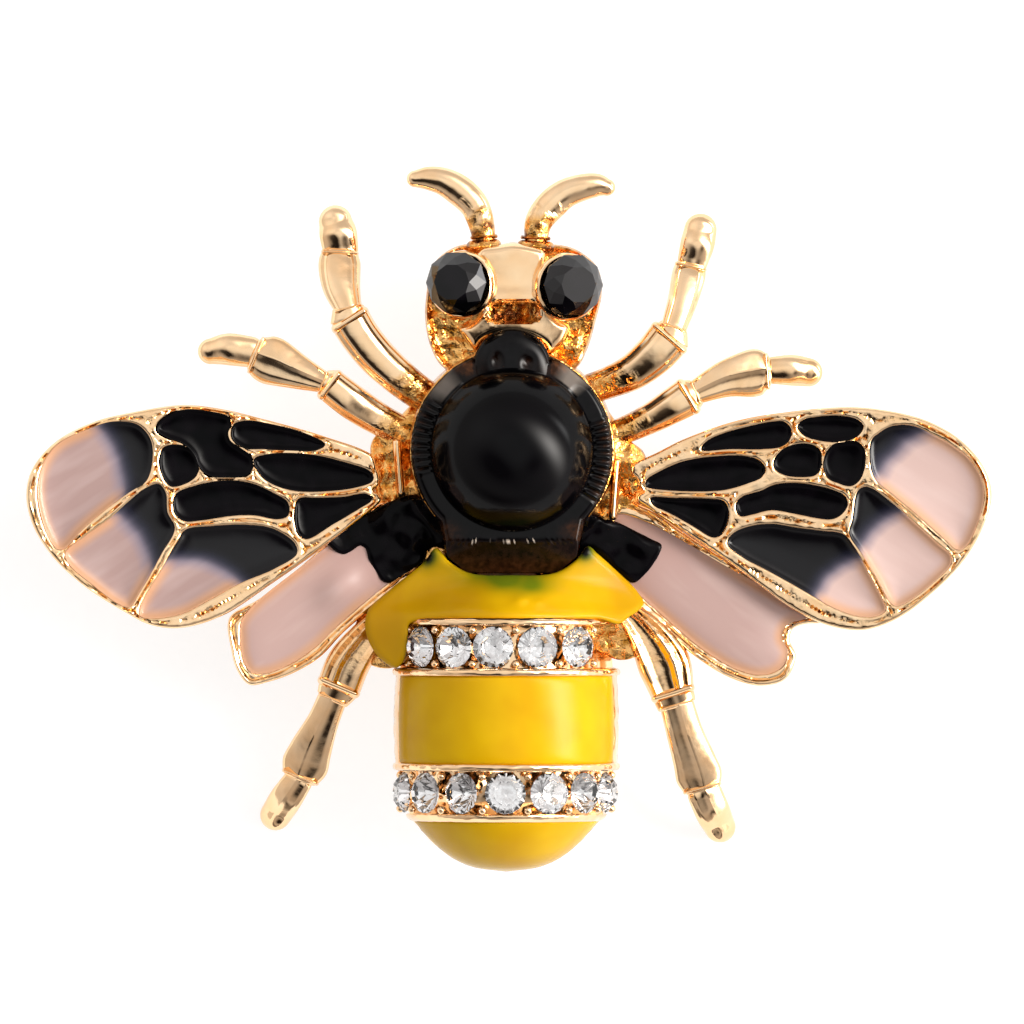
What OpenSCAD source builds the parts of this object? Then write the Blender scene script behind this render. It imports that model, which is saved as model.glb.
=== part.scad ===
// Bee brooch, lying face up on its pin fitting and its two hind feet.
// X runs from wing tip to wing tip, Y from the tail to the antennae, Z up through the face.
// Until the last step the middle of the half-ball is at X = 0 and Y = 0, and Z = 0 is the table.

/* [Body] */
// Height of the flat back of the casting above the table, which the pin fitting takes up
back_z = 3.8; // [3.6:0.1:5]

/* [Thorax] */
// Diameter of the black half-ball
ball_d = 8; // [7:0.1:9.6]
// Height of the half-ball's centre above the flat back
ball_rise = 3.8; // [3.4:0.1:4.6]
// How far the half-ball reaches below its own centre
ball_foot = 1.8; // [1.4:0.1:2.2]
// Width of the collar round the half-ball
collar_w = 0.95; // [0.7:0.05:1.3]
// Height of the collar above the flat back
collar_h = 2.9; // [2.5:0.1:3.2]
// How far the skirt reaches past the collar towards the tail
skirt_out = 1; // [0.7:0.05:1.3]
// Half width of the skirt where it leaves the collar
skirt_w = 3.5; // [3:0.1:4]
// Radius of the enamelled neck
neck_r = 1.8; // [1.5:0.1:2.2]
// Distance from the collar's edge in to the middle of the neck
neck_in = 0.9; // [0.6:0.05:1.2]

/* [Head] */
// Distance from the collar's edge to the middle of the eyes
eye_out = 3.15; // [2.8:0.05:3.6]
// Distance from the middle line to the middle of an eye
eye_x = 2.85; // [2.6:0.05:3.3]
// Diameter of an eye stone
eye_d = 3; // [2.6:0.1:3.4]
// Wall of the cup round an eye stone
eye_wall = 0.18; // [0.14:0.02:0.3]
// How far an eye leans outwards, in degrees
eye_lean = 12; // [0:1:20]
// Height of the widest part of an eye stone above the flat back
eye_z = 3.9; // [3.6:0.1:4.4]
// Thickness of the head plate
head_t = 2.4; // [2:0.1:3]
// Half width of the head at the eyes
head_w = 4.1; // [3.7:0.1:4.6]
// Length of the head in front of the middle of the eyes
head_front = 1.8; // [1.6:0.1:2]
// Width of the gold bar between the eyes and the neck
nape_w = 5; // [4:0.1:6]
// Radius of the gold bar between the eyes and the neck
nape_r = 1; // [0.8:0.1:1.2]
// Radius of the forehead dome
brow_r = 2.3; // [2:0.1:2.6]

/* [Antennae] */
// Thickness of an antenna
antenna_d = 1; // [0.8:0.05:1.3]
// Radius of the bend of an antenna
antenna_bend = 3; // [2.6:0.1:3.4]
// Distance from the middle line to the foot of an antenna
antenna_x = 1.25; // [1:0.05:1.5]
// Length of the straight foot of an antenna, from the middle of the eyes
antenna_foot = 2.25; // [2:0.05:2.6]
// How far an antenna turns, in degrees
antenna_turn = 102; // [80:1:120]
// Height of the antennae above the flat back
antenna_z = 1.5; // [1:0.1:2]

/* [Abdomen] */
// Distance from the collar's edge to the front of the abdomen
abdomen_out = 0.05; // [0:0.05:0.2]
// Length of the abdomen
abdomen_l = 15.62; // [14:0.1:19]
// Largest half width of the abdomen
abdomen_r = 5.5; // [5:0.1:6.6]
// Height of the middle line of the abdomen above the flat back
abdomen_axis = 0.6; // [0.3:0.1:1.2]
// Thickness of the yellow enamel
abdomen_enamel_t = 0.35; // [0.25:0.05:0.5]
// How far the middle band of enamel reaches round each side from the top, in degrees
band_half_angle = 66; // [50:1:75]
// How far the tail's enamel reaches round each side from the top, in degrees
tail_half_angle = 82; // [60:1:88]
// Width of a gold rim beside a row of stones
rim_w = 0.38; // [0.3:0.02:0.5]
// Height of a gold rim over the enamel
rim_h = 0.14; // [0.08:0.02:0.2]

/* [Stones] */
// Diameter of a clear stone
stone_d = 2; // [1.7:0.05:2.2]
// Share of the abdomen's length at the middle of the upper row
upper_row_share = 0.294; // [0.28:0.002:0.32]
// Share of the abdomen's length at the middle of the lower row
lower_row_share = 0.749; // [0.72:0.002:0.77]
// Stones in the upper row
upper_count = 5; // [3:1:5]
// Stones in the lower row
lower_count = 7; // [3:1:7]
// Angle from the top to the first stone of the upper row, in degrees
upper_first = -51; // [-60:1:-40]
// Angle from the top to the first stone of the lower row, in degrees
lower_first = -74; // [-78:1:-60]
// Extra angle between the stones of the lower row, in degrees
lower_slack = 1.4; // [0:0.1:1.5]
// How far the badly set stone of the lower row leans, in degrees
loose_stone_lean = 10; // [0:1:12]

/* [Forewings] */
// Distance from the collar's edge to the root of a forewing
forewing_out = 1.55; // [1.3:0.05:1.9]
// Length of a forewing from its root to its tip
forewing_l = 17.1; // [14:0.1:20.6]
// Width of a forewing across its highest and lowest points
forewing_w = 10.94; // [9:0.1:13.2]
// Height of a forewing's highest point over the half-ball's centre
forewing_top = 2.2; // [1.6:0.1:2.6]
// Thickness of a forewing
forewing_t = 1.1; // [0.9:0.05:1.4]
// Height of a forewing's underside above the flat back
forewing_rise = 1.1; // [0.9:0.05:1.3]
// How far the wings rise towards their tips, in degrees
wing_tilt = 4; // [0:0.5:7]
// Depth of the cells in both pairs of wings
cell_depth = 0.55; // [0.4:0.05:0.7]
// How far the enamel stays below the veins
enamel_drop = 0.08; // [0.04:0.02:0.14]

/* [Hindwings] */
// How far the inner end of a hindwing lies inside the collar's edge
hindwing_in = 0.65; // [0.5:0.05:0.8]
// Length of a hindwing across the body
hindwing_l = 9.47; // [8:0.1:11.4]
// Width of a hindwing along the body
hindwing_w = 9.13; // [8:0.1:11]
// How far below the half-ball's centre a hindwing starts
hindwing_top = 2.3; // [2:0.1:2.6]
// Thickness of a hindwing
hindwing_t = 1; // [0.8:0.05:1.1]

/* [Legs] */
// Length of a front thigh, shin and foot
front_leg = [5.7, 3.4, 1.55];
// Length of a middle thigh, shin and foot
middle_leg = [4.8, 3.7, 2.6];
// Length of a hind thigh, shin and foot
hind_leg = [3.8, 4.85, 2.4];
// Height of a leg's root above the flat back
hip_z = 1.2; // [1:0.1:1.4]
// Radius of a front foot
front_foot_r = 0.6; // [0.5:0.05:0.65]
// Radius of a middle foot
middle_foot_r = 0.45; // [0.4:0.05:0.55]
// Radius of a hind foot
hind_foot_r = 0.55; // [0.45:0.05:0.65]
// Distance from the abdomen's widest side out to the root of a hind leg
hind_hip_out = 0.9; // [0.7:0.05:1.1]
// Distance from the front of the abdomen to the root of a hind leg
hind_hip_back = 3.45; // [3.2:0.05:3.8]

/* [Pin fitting] */
// Length of the strip
strip_l = 25; // [20:0.5:30]
// Width of the strip
strip_w = 3.5; // [3:0.1:5]
// Thickness of the strip
strip_t = 0.8; // [0.6:0.05:1]
// Distance of the strip's middle from the half-ball's centre, towards the tail
strip_back = 2.2; // [1.6:0.1:2.6]
// Diameter of the stem
stem_d = 0.8; // [0.6:0.05:1]
// Height of the stem's middle above the table
stem_z = 0.9; // [0.7:0.05:1.1]
// Length of each end block along the strip
block_l = 3; // [2.5:0.1:3.5]
// How far the stem's point stands out of the catch
point_l = 1.2; // [0.8:0.1:1.6]

/* [Fits] */
// Gap of a glued joint, such as a stone in its seat or the strip on the back
glue_gap = 0.05; // [0.03:0.01:0.08]
// Gap between the enamel and the walls of its cell
enamel_gap = 0.03; // [0.02:0.01:0.05]
// Gap between the stem and the inside of its catch
catch_gap = 0.25; // [0.2:0.05:0.35]

/* [Hidden] */
$fn = 48;
LEFT = -1;
RIGHT = 1;
over = 1;
ball_r = ball_d / 2;
ball_z = back_z + ball_rise;
cup_r = ball_r + collar_w;
skirt_l = cup_r + skirt_out;
neck_y = cup_r - neck_in;
eye_y = cup_r + eye_out;
abdomen_start = cup_r + abdomen_out;
forewing_root = cup_r + forewing_out;
hindwing_root = cup_r - hindwing_in;
collar_z = back_z + collar_h;
collar_rim = 0.16;
collar_enamel_t = 0.4;
head_z = back_z + head_t;
eye_cup_drop = 0.15;
forewing_z = back_z + forewing_rise;
hindwing_lap = 0.1;
hindwing_z = forewing_z - hindwing_t + hindwing_lap;
axis_z = back_z + abdomen_axis;
tail_y = abdomen_start + abdomen_l;
tail_core = tail_y - 2 * abdomen_enamel_t;
upper_row = abdomen_start + upper_row_share * abdomen_l;
lower_row = abdomen_start + lower_row_share * abdomen_l;
channel_w = stone_d + 2 * glue_gap;
channel_half_angle = 86;
hip_in = 0.5;
hip_ring = cup_r - hip_in;
hind_hip_x = abdomen_r + hind_hip_out;
hind_hip_y = abdomen_start + hind_hip_back;
knuckle_over = 0.06;
LOOSE_STONE = 3;
band_end_gap = 1;
// Shares of a stone's diameter: crown, pavilion and table
EYE_CUT = [0.28, 0.5, 0.52];
STONE_CUT = [0.22, 0.42, 0.58];
CROWN = 0;
PAVILION = 1;
TABLE = 2;
// How far a clear stone's widest part lies below the barrel's surface
stone_sink = 0.1;

// Outline of half the head: share of its half width, share of its length from the neck
HEAD = [[0.82, 0], [1, 0.56], [0.85, 0.885], [0.34, 1]];

// Outline of half the skirt: share of its half width, share of its length from the half-ball's centre
SKIRT = [[1, 0.6], [0.9, 0.87], [0.62, 1]];

// Points along the abdomen: share of its length, share of its largest half width
BARREL = [
    [0, 0.36], [0.06, 0.42], [0.1, 0.58], [0.15, 0.77], [0.21, 0.93], [0.29, 0.965], [0.42, 0.99],
    [0.525, 1], [0.64, 0.99], [0.74, 0.96], [0.81, 0.89], [0.86, 0.78], [0.91, 0.63], [0.955, 0.45],
    [0.985, 0.26], [1, 0]
];

// Outline of a forewing: share of its length from the root, share of its width from the highest point
FOREWING = [
    [0.015, 0.23], [0.16, 0.14], [0.34, 0.06], [0.55, 0], [0.68, 0.03], [0.81, 0.07], [0.92, 0.16],
    [0.985, 0.28], [1, 0.4], [0.985, 0.53], [0.935, 0.66], [0.85, 0.8], [0.73, 0.92], [0.65, 0.985],
    [0.56, 1], [0.45, 0.95], [0.3, 0.8], [0.155, 0.64], [0.01, 0.455], [0, 0.41]
];

// Cast bridge from a forewing's root into the thorax, in the same shares
FOREWING_BRIDGE = [[-0.13, 0.2], [0.03, 0.22], [0.03, 0.45], [-0.13, 0.42]];

// Cells of a forewing, in the same shares: three long ones at the tip, then the small ones towards the root
TIP_FRONT_CELL = [
    [0.965, 0.285], [0.975, 0.4], [0.95, 0.55], [0.91, 0.64], [0.785, 0.47], [0.665, 0.345], [0.645, 0.22],
    [0.65, 0.16], [0.69, 0.095], [0.755, 0.076], [0.815, 0.115], [0.92, 0.185]
];
TIP_MIDDLE_CELL = [
    [0.893, 0.66], [0.783, 0.53], [0.67, 0.38], [0.625, 0.36], [0.608, 0.4], [0.606, 0.49], [0.585, 0.55],
    [0.625, 0.66], [0.69, 0.835], [0.717, 0.9], [0.815, 0.8], [0.885, 0.71]
];
TIP_HIND_CELL = [
    [0.55, 0.56], [0.375, 0.537], [0.303, 0.55], [0.238, 0.63], [0.23, 0.66], [0.303, 0.73], [0.397, 0.785],
    [0.486, 0.865], [0.594, 0.945], [0.68, 0.945], [0.685, 0.9], [0.625, 0.74], [0.567, 0.595]
];
ROUND_CELL = [
    [0.617, 0.192], [0.537, 0.196], [0.517, 0.277], [0.529, 0.32], [0.594, 0.355], [0.623, 0.286]
];
TOP_CELL = [
    [0.623, 0.071], [0.566, 0.049], [0.45, 0.058], [0.42, 0.094], [0.434, 0.152], [0.52, 0.168],
    [0.566, 0.16], [0.631, 0.116]
];
CENTRE_CELL = [
    [0.514, 0.286], [0.5, 0.317], [0.374, 0.317], [0.36, 0.277], [0.369, 0.219], [0.426, 0.19], [0.509, 0.203]
];
SLENDER_CELL = [
    [0.41, 0.076], [0.303, 0.094], [0.194, 0.138], [0.157, 0.183], [0.303, 0.188], [0.36, 0.192],
    [0.418, 0.145]
];
LEAF_CELL = [
    [0.354, 0.241], [0.303, 0.219], [0.194, 0.228], [0.083, 0.263], [0.022, 0.308], [0.022, 0.344],
    [0.063, 0.366], [0.194, 0.379], [0.289, 0.366], [0.34, 0.308]
];
TRIANGLE_CELL = [
    [0.231, 0.433], [0.12, 0.42], [0.034, 0.406], [0.022, 0.422], [0.12, 0.527], [0.214, 0.607],
    [0.237, 0.571], [0.24, 0.455]
];
LONG_CELL = [
    [0.58, 0.402], [0.486, 0.348], [0.374, 0.344], [0.317, 0.388], [0.26, 0.446], [0.266, 0.509],
    [0.374, 0.487], [0.463, 0.504], [0.551, 0.513], [0.58, 0.482]
];
CELLS = [
    TIP_FRONT_CELL, TIP_MIDDLE_CELL, TIP_HIND_CELL, ROUND_CELL, TOP_CELL,
    CENTRE_CELL, SLENDER_CELL, LEAF_CELL, TRIANGLE_CELL, LONG_CELL
];
PINK_CELLS = 3;

// Outline of a hindwing: share of its length from the inner end, share of its width from the front
HINDWING = [
    [0.23, 0], [0.515, 0.257], [0.78, 0.444], [0.98, 0.604], [1, 0.72], [0.98, 0.915], [0.9, 1],
    [0.785, 0.985], [0.66, 0.935], [0.535, 0.86], [0.41, 0.735], [0.235, 0.58], [0, 0.375], [0, 0.095],
    [0.135, 0.015]
];
HINDWING_CELL = [
    [0.943, 0.66], [0.96, 0.818], [0.928, 0.914], [0.876, 0.947], [0.778, 0.93], [0.67, 0.888],
    [0.567, 0.813], [0.443, 0.684], [0.278, 0.54], [0.235, 0.502], [0.43, 0.352], [0.505, 0.302],
    [0.701, 0.46], [0.881, 0.594]
];
WING_ROOT_CELL = [
    [0.196, 0.471], [0.031, 0.348], [0.021, 0.123], [0.134, 0.043], [0.211, 0.043], [0.392, 0.203],
    [0.464, 0.273], [0.381, 0.348]
];

// Each leg: side, angle of its root round the thorax, then length share and heading of thigh, shin and foot
FRONT_LEGS = [[LEFT, 147, 1.11, 135, 0.9, 99, 0.93, 94], [RIGHT, 43, 0.9, 30, 1.09, 73, 1.08, 75]];
MIDDLE_LEGS = [[LEFT, 168, 1.04, 153, 0.98, 159, 1.04, 174], [RIGHT, 10, 0.96, 23, 1.03, 18, 0.96, -3]];
HIND_LEGS = [[LEFT, 0, 0.99, 238, 0.97, 249, 1.08, 230], [RIGHT, 0, 1, -63, 1.03, -73, 0.92, -60]];
SIDE = 0;
ROOT_ANGLE = 1;
THIGH = 2;
SHIN = 4;
FOOT = 6;

// Heights of knee, ankle and foot: shares of the height of the leg's root
FRONT_HEIGHTS = [1.12, 0.92, 0.72];
MIDDLE_HEIGHTS = [1.08, 0.96, 0.76];
HIND_HEIGHTS = [0.96, 0.6];
// Radii of the two ends of thigh, shin and foot: shares of the foot's radius
FRONT_RADII = [0.83, 1.42, 1, 1.23, 1.15, 0.9];
MIDDLE_RADII = [1.38, 1.6, 0.93, 2.55, 1.15, 0.9];
HIND_RADII = [1.31, 1.45, 0.91, 1.82, 1.15, 0.9];
// Radii of an antenna at the head, at its bend and at its tip: shares of its thickness
ANTENNA_RADII = [0.62, 0.54, 0.52];

top_y = eye_y + antenna_foot + antenna_bend + antenna_d / 2;
centre_shift = (tail_y - top_y) / 2;

function barrel_r(y) = abdomen_r * lookup((y - abdomen_start) / abdomen_l, BARREL);
function barrel_ys(from, to) = concat(
    [from],
    [for (row = BARREL) let (y = abdomen_start + row[0] * abdomen_l) if (y > from && y < to) y],
    [to]
);
function mirrored(points) = concat(
    points,
    [for (i = [len(points) - 1:-1:0]) [-points[i][0], points[i][1]]]
);
function forewing_point(s) = [forewing_root + s[0] * forewing_l, forewing_top - s[1] * forewing_w];
function hindwing_point(s) = [hindwing_root + s[0] * hindwing_l, -hindwing_top - s[1] * hindwing_w];
function heading(p, length, angle, z) = [p[0] + length * cos(angle), p[1] + length * sin(angle), z];

// A round bar that tapers from one point to another
module bar(a, b, ra, rb) {
    d = b - a;
    length = norm(d);
    translate(a)
        rotate([0, acos(d[2] / length), atan2(d[1], d[0])])
            cylinder(h = length, r1 = ra, r2 = rb);
}

module knuckle(p, r) {
    translate(p) sphere(r = r);
}

// A cut stone on its own axis with its girdle at z = 0: a cone below and a bevelled crown above
module cut_stone(d, cut) {
    r = d / 2;
    culet_r = 0.2 * r;
    girdle = 0.1 * r;
    rotate_extrude()
        polygon([
            [0, -cut[PAVILION] * d], [culet_r, -cut[PAVILION] * d], [r, -girdle], [r, 0],
            [cut[TABLE] * r, cut[CROWN] * d], [0, cut[CROWN] * d]
        ]);
}

// The barrel of the abdomen between two distances, out to its surface plus a margin
module barrel_slice(from, to, margin) {
    translate([0, 0, axis_z])
        rotate([90, 0, 0])
            rotate_extrude()
                polygon(concat(
                    [[0, from]],
                    [for (y = barrel_ys(from, to)) [barrel_r(y) + margin, y]],
                    [[0, to]]
                ));
}

// A layer round the abdomen, between two margins from its surface
module barrel_band(from, to, inner, outer, half_angle) {
    ys = barrel_ys(from, to);
    translate([0, 0, axis_z])
        rotate([90, 0, 0])
            rotate_extrude(angle = 2 * half_angle, start = 90 - half_angle)
                polygon(concat(
                    [for (y = ys) [max(barrel_r(y) + inner, 0), y]],
                    [for (i = [len(ys) - 1:-1:0]) [barrel_r(ys[i]) + outer, ys[i]]]
                ));
}

module above_back() {
    intersection() {
        children();
        translate([-abdomen_r - over, -tail_y - over, back_z])
            cube([2 * (abdomen_r + over), tail_y + over, 2 * (abdomen_r + over)]);
    }
}

module on_wing(side) {
    mirror([side == LEFT ? 1 : 0, 0, 0])
        translate([cup_r, 0, forewing_z])
            rotate([0, -wing_tilt, 0])
                translate([-cup_r, 0, -forewing_z])
                    children();
}

module forewing_shape(shares) {
    polygon([for (s = shares) forewing_point(s)]);
}

module hindwing_shape(shares) {
    polygon([for (s = shares) hindwing_point(s)]);
}

module forewing(side) {
    on_wing(side)
        translate([0, 0, forewing_z])
            linear_extrude(forewing_t) {
                forewing_shape(FOREWING);
                forewing_shape(FOREWING_BRIDGE);
            }
}

module hindwing(side) {
    on_wing(side)
        translate([0, 0, hindwing_z])
            linear_extrude(hindwing_t) hindwing_shape(HINDWING);
}

// Pocket of one cell, cut down from the top of a forewing
module forewing_pocket(side, i) {
    on_wing(side)
        translate([0, 0, forewing_z + forewing_t - cell_depth])
            linear_extrude(cell_depth + over) forewing_shape(CELLS[i]);
}

// Pockets of a hindwing, which the forewing's edge laps over without closing them
module hindwing_pockets(side) {
    on_wing(side)
        translate([0, 0, hindwing_z + hindwing_t - cell_depth])
            linear_extrude(cell_depth + over) {
                hindwing_shape(HINDWING_CELL);
                hindwing_shape(WING_ROOT_CELL);
            }
}

module wing_enamel(side, top) {
    fill = cell_depth - enamel_gap - enamel_drop;
    on_wing(side)
        translate([0, 0, top - enamel_drop - fill])
            linear_extrude(fill) offset(delta = -enamel_gap) children();
}

module skirt(inset) {
    offset(delta = -inset)
        polygon(mirrored([for (s = SKIRT) [s[0] * skirt_w, -s[1] * skirt_l]]));
}

// Plan of the enamel on the thorax: collar, skirt and neck round the half-ball
module thorax_enamel_shape(inset) {
    difference() {
        union() {
            circle(r = cup_r - collar_rim - inset);
            skirt(collar_rim + inset);
            translate([0, neck_y]) circle(r = neck_r - inset);
        }
        circle(r = ball_r);
    }
}

module thorax() {
    translate([0, 0, back_z])
        linear_extrude(collar_h) {
            circle(r = cup_r);
            skirt(0);
            translate([0, neck_y]) circle(r = neck_r + collar_rim);
        }
}

module thorax_pocket() {
    translate([0, 0, collar_z - collar_enamel_t])
        linear_extrude(collar_enamel_t + over) {
            circle(r = cup_r - collar_rim);
            skirt(collar_rim);
            translate([0, neck_y]) circle(r = neck_r);
        }
}

module ball_seat() {
    intersection() {
        translate([0, 0, ball_z]) sphere(r = ball_r + glue_gap);
        translate([0, 0, ball_z - ball_foot - glue_gap]) cylinder(r = cup_r, h = ball_d);
    }
}

module head_plate() {
    head_l = eye_y + head_front - neck_y;
    translate([0, 0, back_z])
        linear_extrude(head_t)
            polygon(mirrored([for (s = HEAD) [s[0] * head_w, neck_y + s[1] * head_l]]));
}

module on_eye(side) {
    translate([side * eye_x, eye_y, back_z + eye_z])
        rotate([0, side * eye_lean, 0])
            children();
}

module head() {
    head_plate();
    translate([0, eye_y + head_front - brow_r, head_z]) sphere(r = brow_r);
    translate([-nape_w / 2, neck_y + neck_r, head_z - nape_r / 2])
        rotate([0, 90, 0]) cylinder(r = nape_r, h = nape_w);
    for (side = [LEFT, RIGHT])
        on_eye(side)
            translate([0, 0, -eye_z])
                cylinder(r = eye_d / 2 + eye_wall, h = eye_z - eye_cup_drop);
}

module eye_bores() {
    for (side = [LEFT, RIGHT])
        on_eye(side)
            translate([0, 0, -EYE_CUT[PAVILION] * eye_d - glue_gap])
                cylinder(r = eye_d / 2 + glue_gap, h = eye_d + over);
}

module antenna(side) {
    z = back_z + antenna_z;
    foot = eye_y + antenna_foot;
    r = ANTENNA_RADII * antenna_d;
    bar([side * antenna_x, eye_y, z], [side * antenna_x, foot, z], r[0], r[1]);
    translate([side * antenna_x, foot, z])
        mirror([side == LEFT ? 0 : 1, 0, 0])
            translate([-antenna_bend, 0, 0]) {
                rotate_extrude(angle = antenna_turn) translate([antenna_bend, 0]) circle(d = antenna_d);
                rotate([0, 0, antenna_turn])
                    knuckle([antenna_bend, 0, 0], r[2]);
            }
}

// The channel's floor lies just below the stones' points
function channel_floor(row) = barrel_r(row) - stone_sink - STONE_CUT[PAVILION] * stone_d - glue_gap;

function upper_band() = [skirt_l + enamel_gap, upper_row - channel_w / 2 - rim_w];
function middle_band() = [upper_row + channel_w / 2 + rim_w, lower_row - channel_w / 2 - rim_w];
function tail_band() = [lower_row + channel_w / 2 + rim_w, tail_y];

module abdomen() {
    above_back() {
        barrel_slice(abdomen_start, tail_y, 0);
        for (row = [upper_row, lower_row])
            barrel_slice(row - channel_w / 2 - rim_w, row + channel_w / 2 + rim_w, rim_h);
    }
}

module stone_channels() {
    for (row = [upper_row, lower_row])
        translate([0, 0, axis_z])
            rotate([90, 0, 0])
                rotate_extrude(angle = 2 * channel_half_angle, start = 90 - channel_half_angle)
                    translate([channel_floor(row), row - channel_w / 2])
                        square([abdomen_r + rim_h + over - channel_floor(row), channel_w]);
}

module abdomen_pockets() {
    barrel_band(upper_band()[0], upper_band()[1], -abdomen_enamel_t, 2 * rim_h, tail_half_angle);
    barrel_band(middle_band()[0], middle_band()[1], -abdomen_enamel_t, 2 * rim_h, band_half_angle);
    barrel_band(tail_band()[0], tail_core, -abdomen_enamel_t, 2 * rim_h, tail_half_angle);
    barrel_band(tail_core, tail_y, -abdomen_r, 2 * rim_h, 180);
}

// Flat web between the abdomen, a hindwing and the root of a hind leg
module shoulder(side) {
    inner = hindwing_root / 2;
    front = hindwing_point([0.1, 0]);
    lobe = hindwing_point([0.25, 0.59]);
    root_r = HIND_RADII[0] * hind_foot_r;
    rear = -upper_row - channel_w / 2 - rim_w;
    translate([0, 0, back_z])
        linear_extrude(forewing_rise)
            polygon([
                [side * inner, front[1]], [side * front[0], front[1]], [side * front[0], -skirt_l],
                [side * lobe[0], lobe[1]], [side * (hind_hip_x + root_r), -hind_hip_y - root_r],
                [side * (hind_hip_x - root_r), rear], [side * inner, rear]
            ]);
}

module leg(hip, row, lengths, heights, shares, foot_r) {
    r = shares * foot_r;
    knee = heading(hip, row[THIGH] * lengths[0], row[THIGH + 1], heights[0]);
    ankle = heading(knee, row[SHIN] * lengths[1], row[SHIN + 1], heights[1]);
    toe = heading(ankle, row[FOOT] * lengths[2], row[FOOT + 1], heights[2]);
    bar(hip, knee, r[0], r[1]);
    knuckle(knee, r[1] + knuckle_over);
    bar(knee, ankle, r[2], r[3]);
    bar(ankle, toe, r[4], r[5]);
    knuckle(toe, foot_r);
}

module legs() {
    z = back_z + hip_z;
    for (row = FRONT_LEGS)
        leg(heading([0, 0], hip_ring, row[ROOT_ANGLE], z), row, front_leg, z * FRONT_HEIGHTS,
            FRONT_RADII, front_foot_r);
    for (row = MIDDLE_LEGS)
        leg(heading([0, 0], hip_ring, row[ROOT_ANGLE], z), row, middle_leg, z * MIDDLE_HEIGHTS,
            MIDDLE_RADII, middle_foot_r);
    for (row = HIND_LEGS)
        leg([row[SIDE] * hind_hip_x, -hind_hip_y, z], row, hind_leg, concat(z * HIND_HEIGHTS, hind_foot_r),
            HIND_RADII, hind_foot_r);
}

module casting() {
    color("#F2C88C")
        difference() {
            union() {
                thorax();
                head();
                abdomen();
                legs();
                for (side = [LEFT, RIGHT]) {
                    antenna(side);
                    forewing(side);
                    hindwing(side);
                    shoulder(side);
                }
            }
            thorax_pocket();
            ball_seat();
            eye_bores();
            stone_channels();
            abdomen_pockets();
            for (side = [LEFT, RIGHT]) {
                hindwing_pockets(side);
                for (i = [0:len(CELLS) - 1])
                    forewing_pocket(side, i);
            }
        }
}

// Strip with a hinge block at one end and a hooked catch at the other, the stem held in the hinge block
module pin_back() {
    strip_z = back_z - glue_gap - strip_t;
    end_x = strip_l / 2;
    bore_r = stem_d / 2 + catch_gap;
    color("#E8BE82")
        translate([0, -strip_back, 0]) {
            difference() {
                union() {
                    translate([-end_x, -strip_w / 2, strip_z]) cube([strip_l, strip_w, strip_t]);
                    for (x = [-end_x, end_x - block_l])
                        translate([x, -strip_w / 2, 0]) cube([block_l, strip_w, strip_z + strip_t / 2]);
                }
                translate([-end_x - over, 0, stem_z])
                    rotate([0, 90, 0]) cylinder(r = bore_r, h = block_l + 2 * over);
                translate([-end_x - over, 0, stem_z - bore_r])
                    cube([block_l + 2 * over, strip_w, 2 * bore_r]);
            }
            bar([end_x - block_l / 2, 0, stem_z], [-end_x, 0, stem_z], stem_d / 2, stem_d / 2);
            bar([-end_x, 0, stem_z], [-end_x - point_l, 0, stem_z], stem_d / 2, stem_d / 10);
        }
}

module thorax_ball() {
    color("#17151A")
        intersection() {
            translate([0, 0, ball_z]) sphere(r = ball_r);
            translate([0, 0, ball_z - ball_foot]) cylinder(r = cup_r, h = ball_d);
        }
}

module eye(side) {
    color("#141216") on_eye(side) cut_stone(eye_d, EYE_CUT);
}

module thorax_enamel() {
    color("#1B181C")
        translate([0, 0, collar_z - collar_enamel_t + enamel_gap])
            linear_extrude(collar_enamel_t - enamel_gap) thorax_enamel_shape(enamel_gap);
}

module abdomen_enamel(band, half_angle) {
    color("#EDBE1A")
        barrel_band(band[0] + enamel_gap, band[1] - enamel_gap, enamel_gap - abdomen_enamel_t, 0,
            half_angle - band_end_gap);
}

// The enamel of the tail is solid past the end of the casting
module tail_enamel() {
    abdomen_enamel([tail_band()[0], tail_core + 4 * enamel_gap], tail_half_angle);
    color("#EDBE1A")
        barrel_band(tail_core + enamel_gap, tail_y, -abdomen_r, 0, tail_half_angle - band_end_gap);
}

// One clear stone of a row, pointing out from the abdomen's middle line
module stone(row, first, step, i, lean) {
    color("#E6E6EC")
        translate([0, -row, axis_z])
            rotate([0, first + (i - 1) * step, 0])
                translate([0, 0, barrel_r(row) - stone_sink])
                    rotate([0, lean, 0])
                        cut_stone(stone_d, STONE_CUT);
}

module forewing_enamel(side, i) {
    color(i < PINK_CELLS ? "#D9B9B0" : "#1B181C")
        wing_enamel(side, forewing_z + forewing_t) forewing_shape(CELLS[i]);
}

module hindwing_enamel(side) {
    color("#D9B9B0") wing_enamel(side, hindwing_z + hindwing_t) hindwing_shape(HINDWING_CELL);
}

module wing_root_enamel(side) {
    color("#1B181C") wing_enamel(side, hindwing_z + hindwing_t) hindwing_shape(WING_ROOT_CELL);
}

// Angle between neighbouring stones that leaves a hair's gap at their widest
function stone_step(row) = 2 * asin((stone_d + glue_gap) / 2 / (barrel_r(row) - stone_sink));

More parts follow.
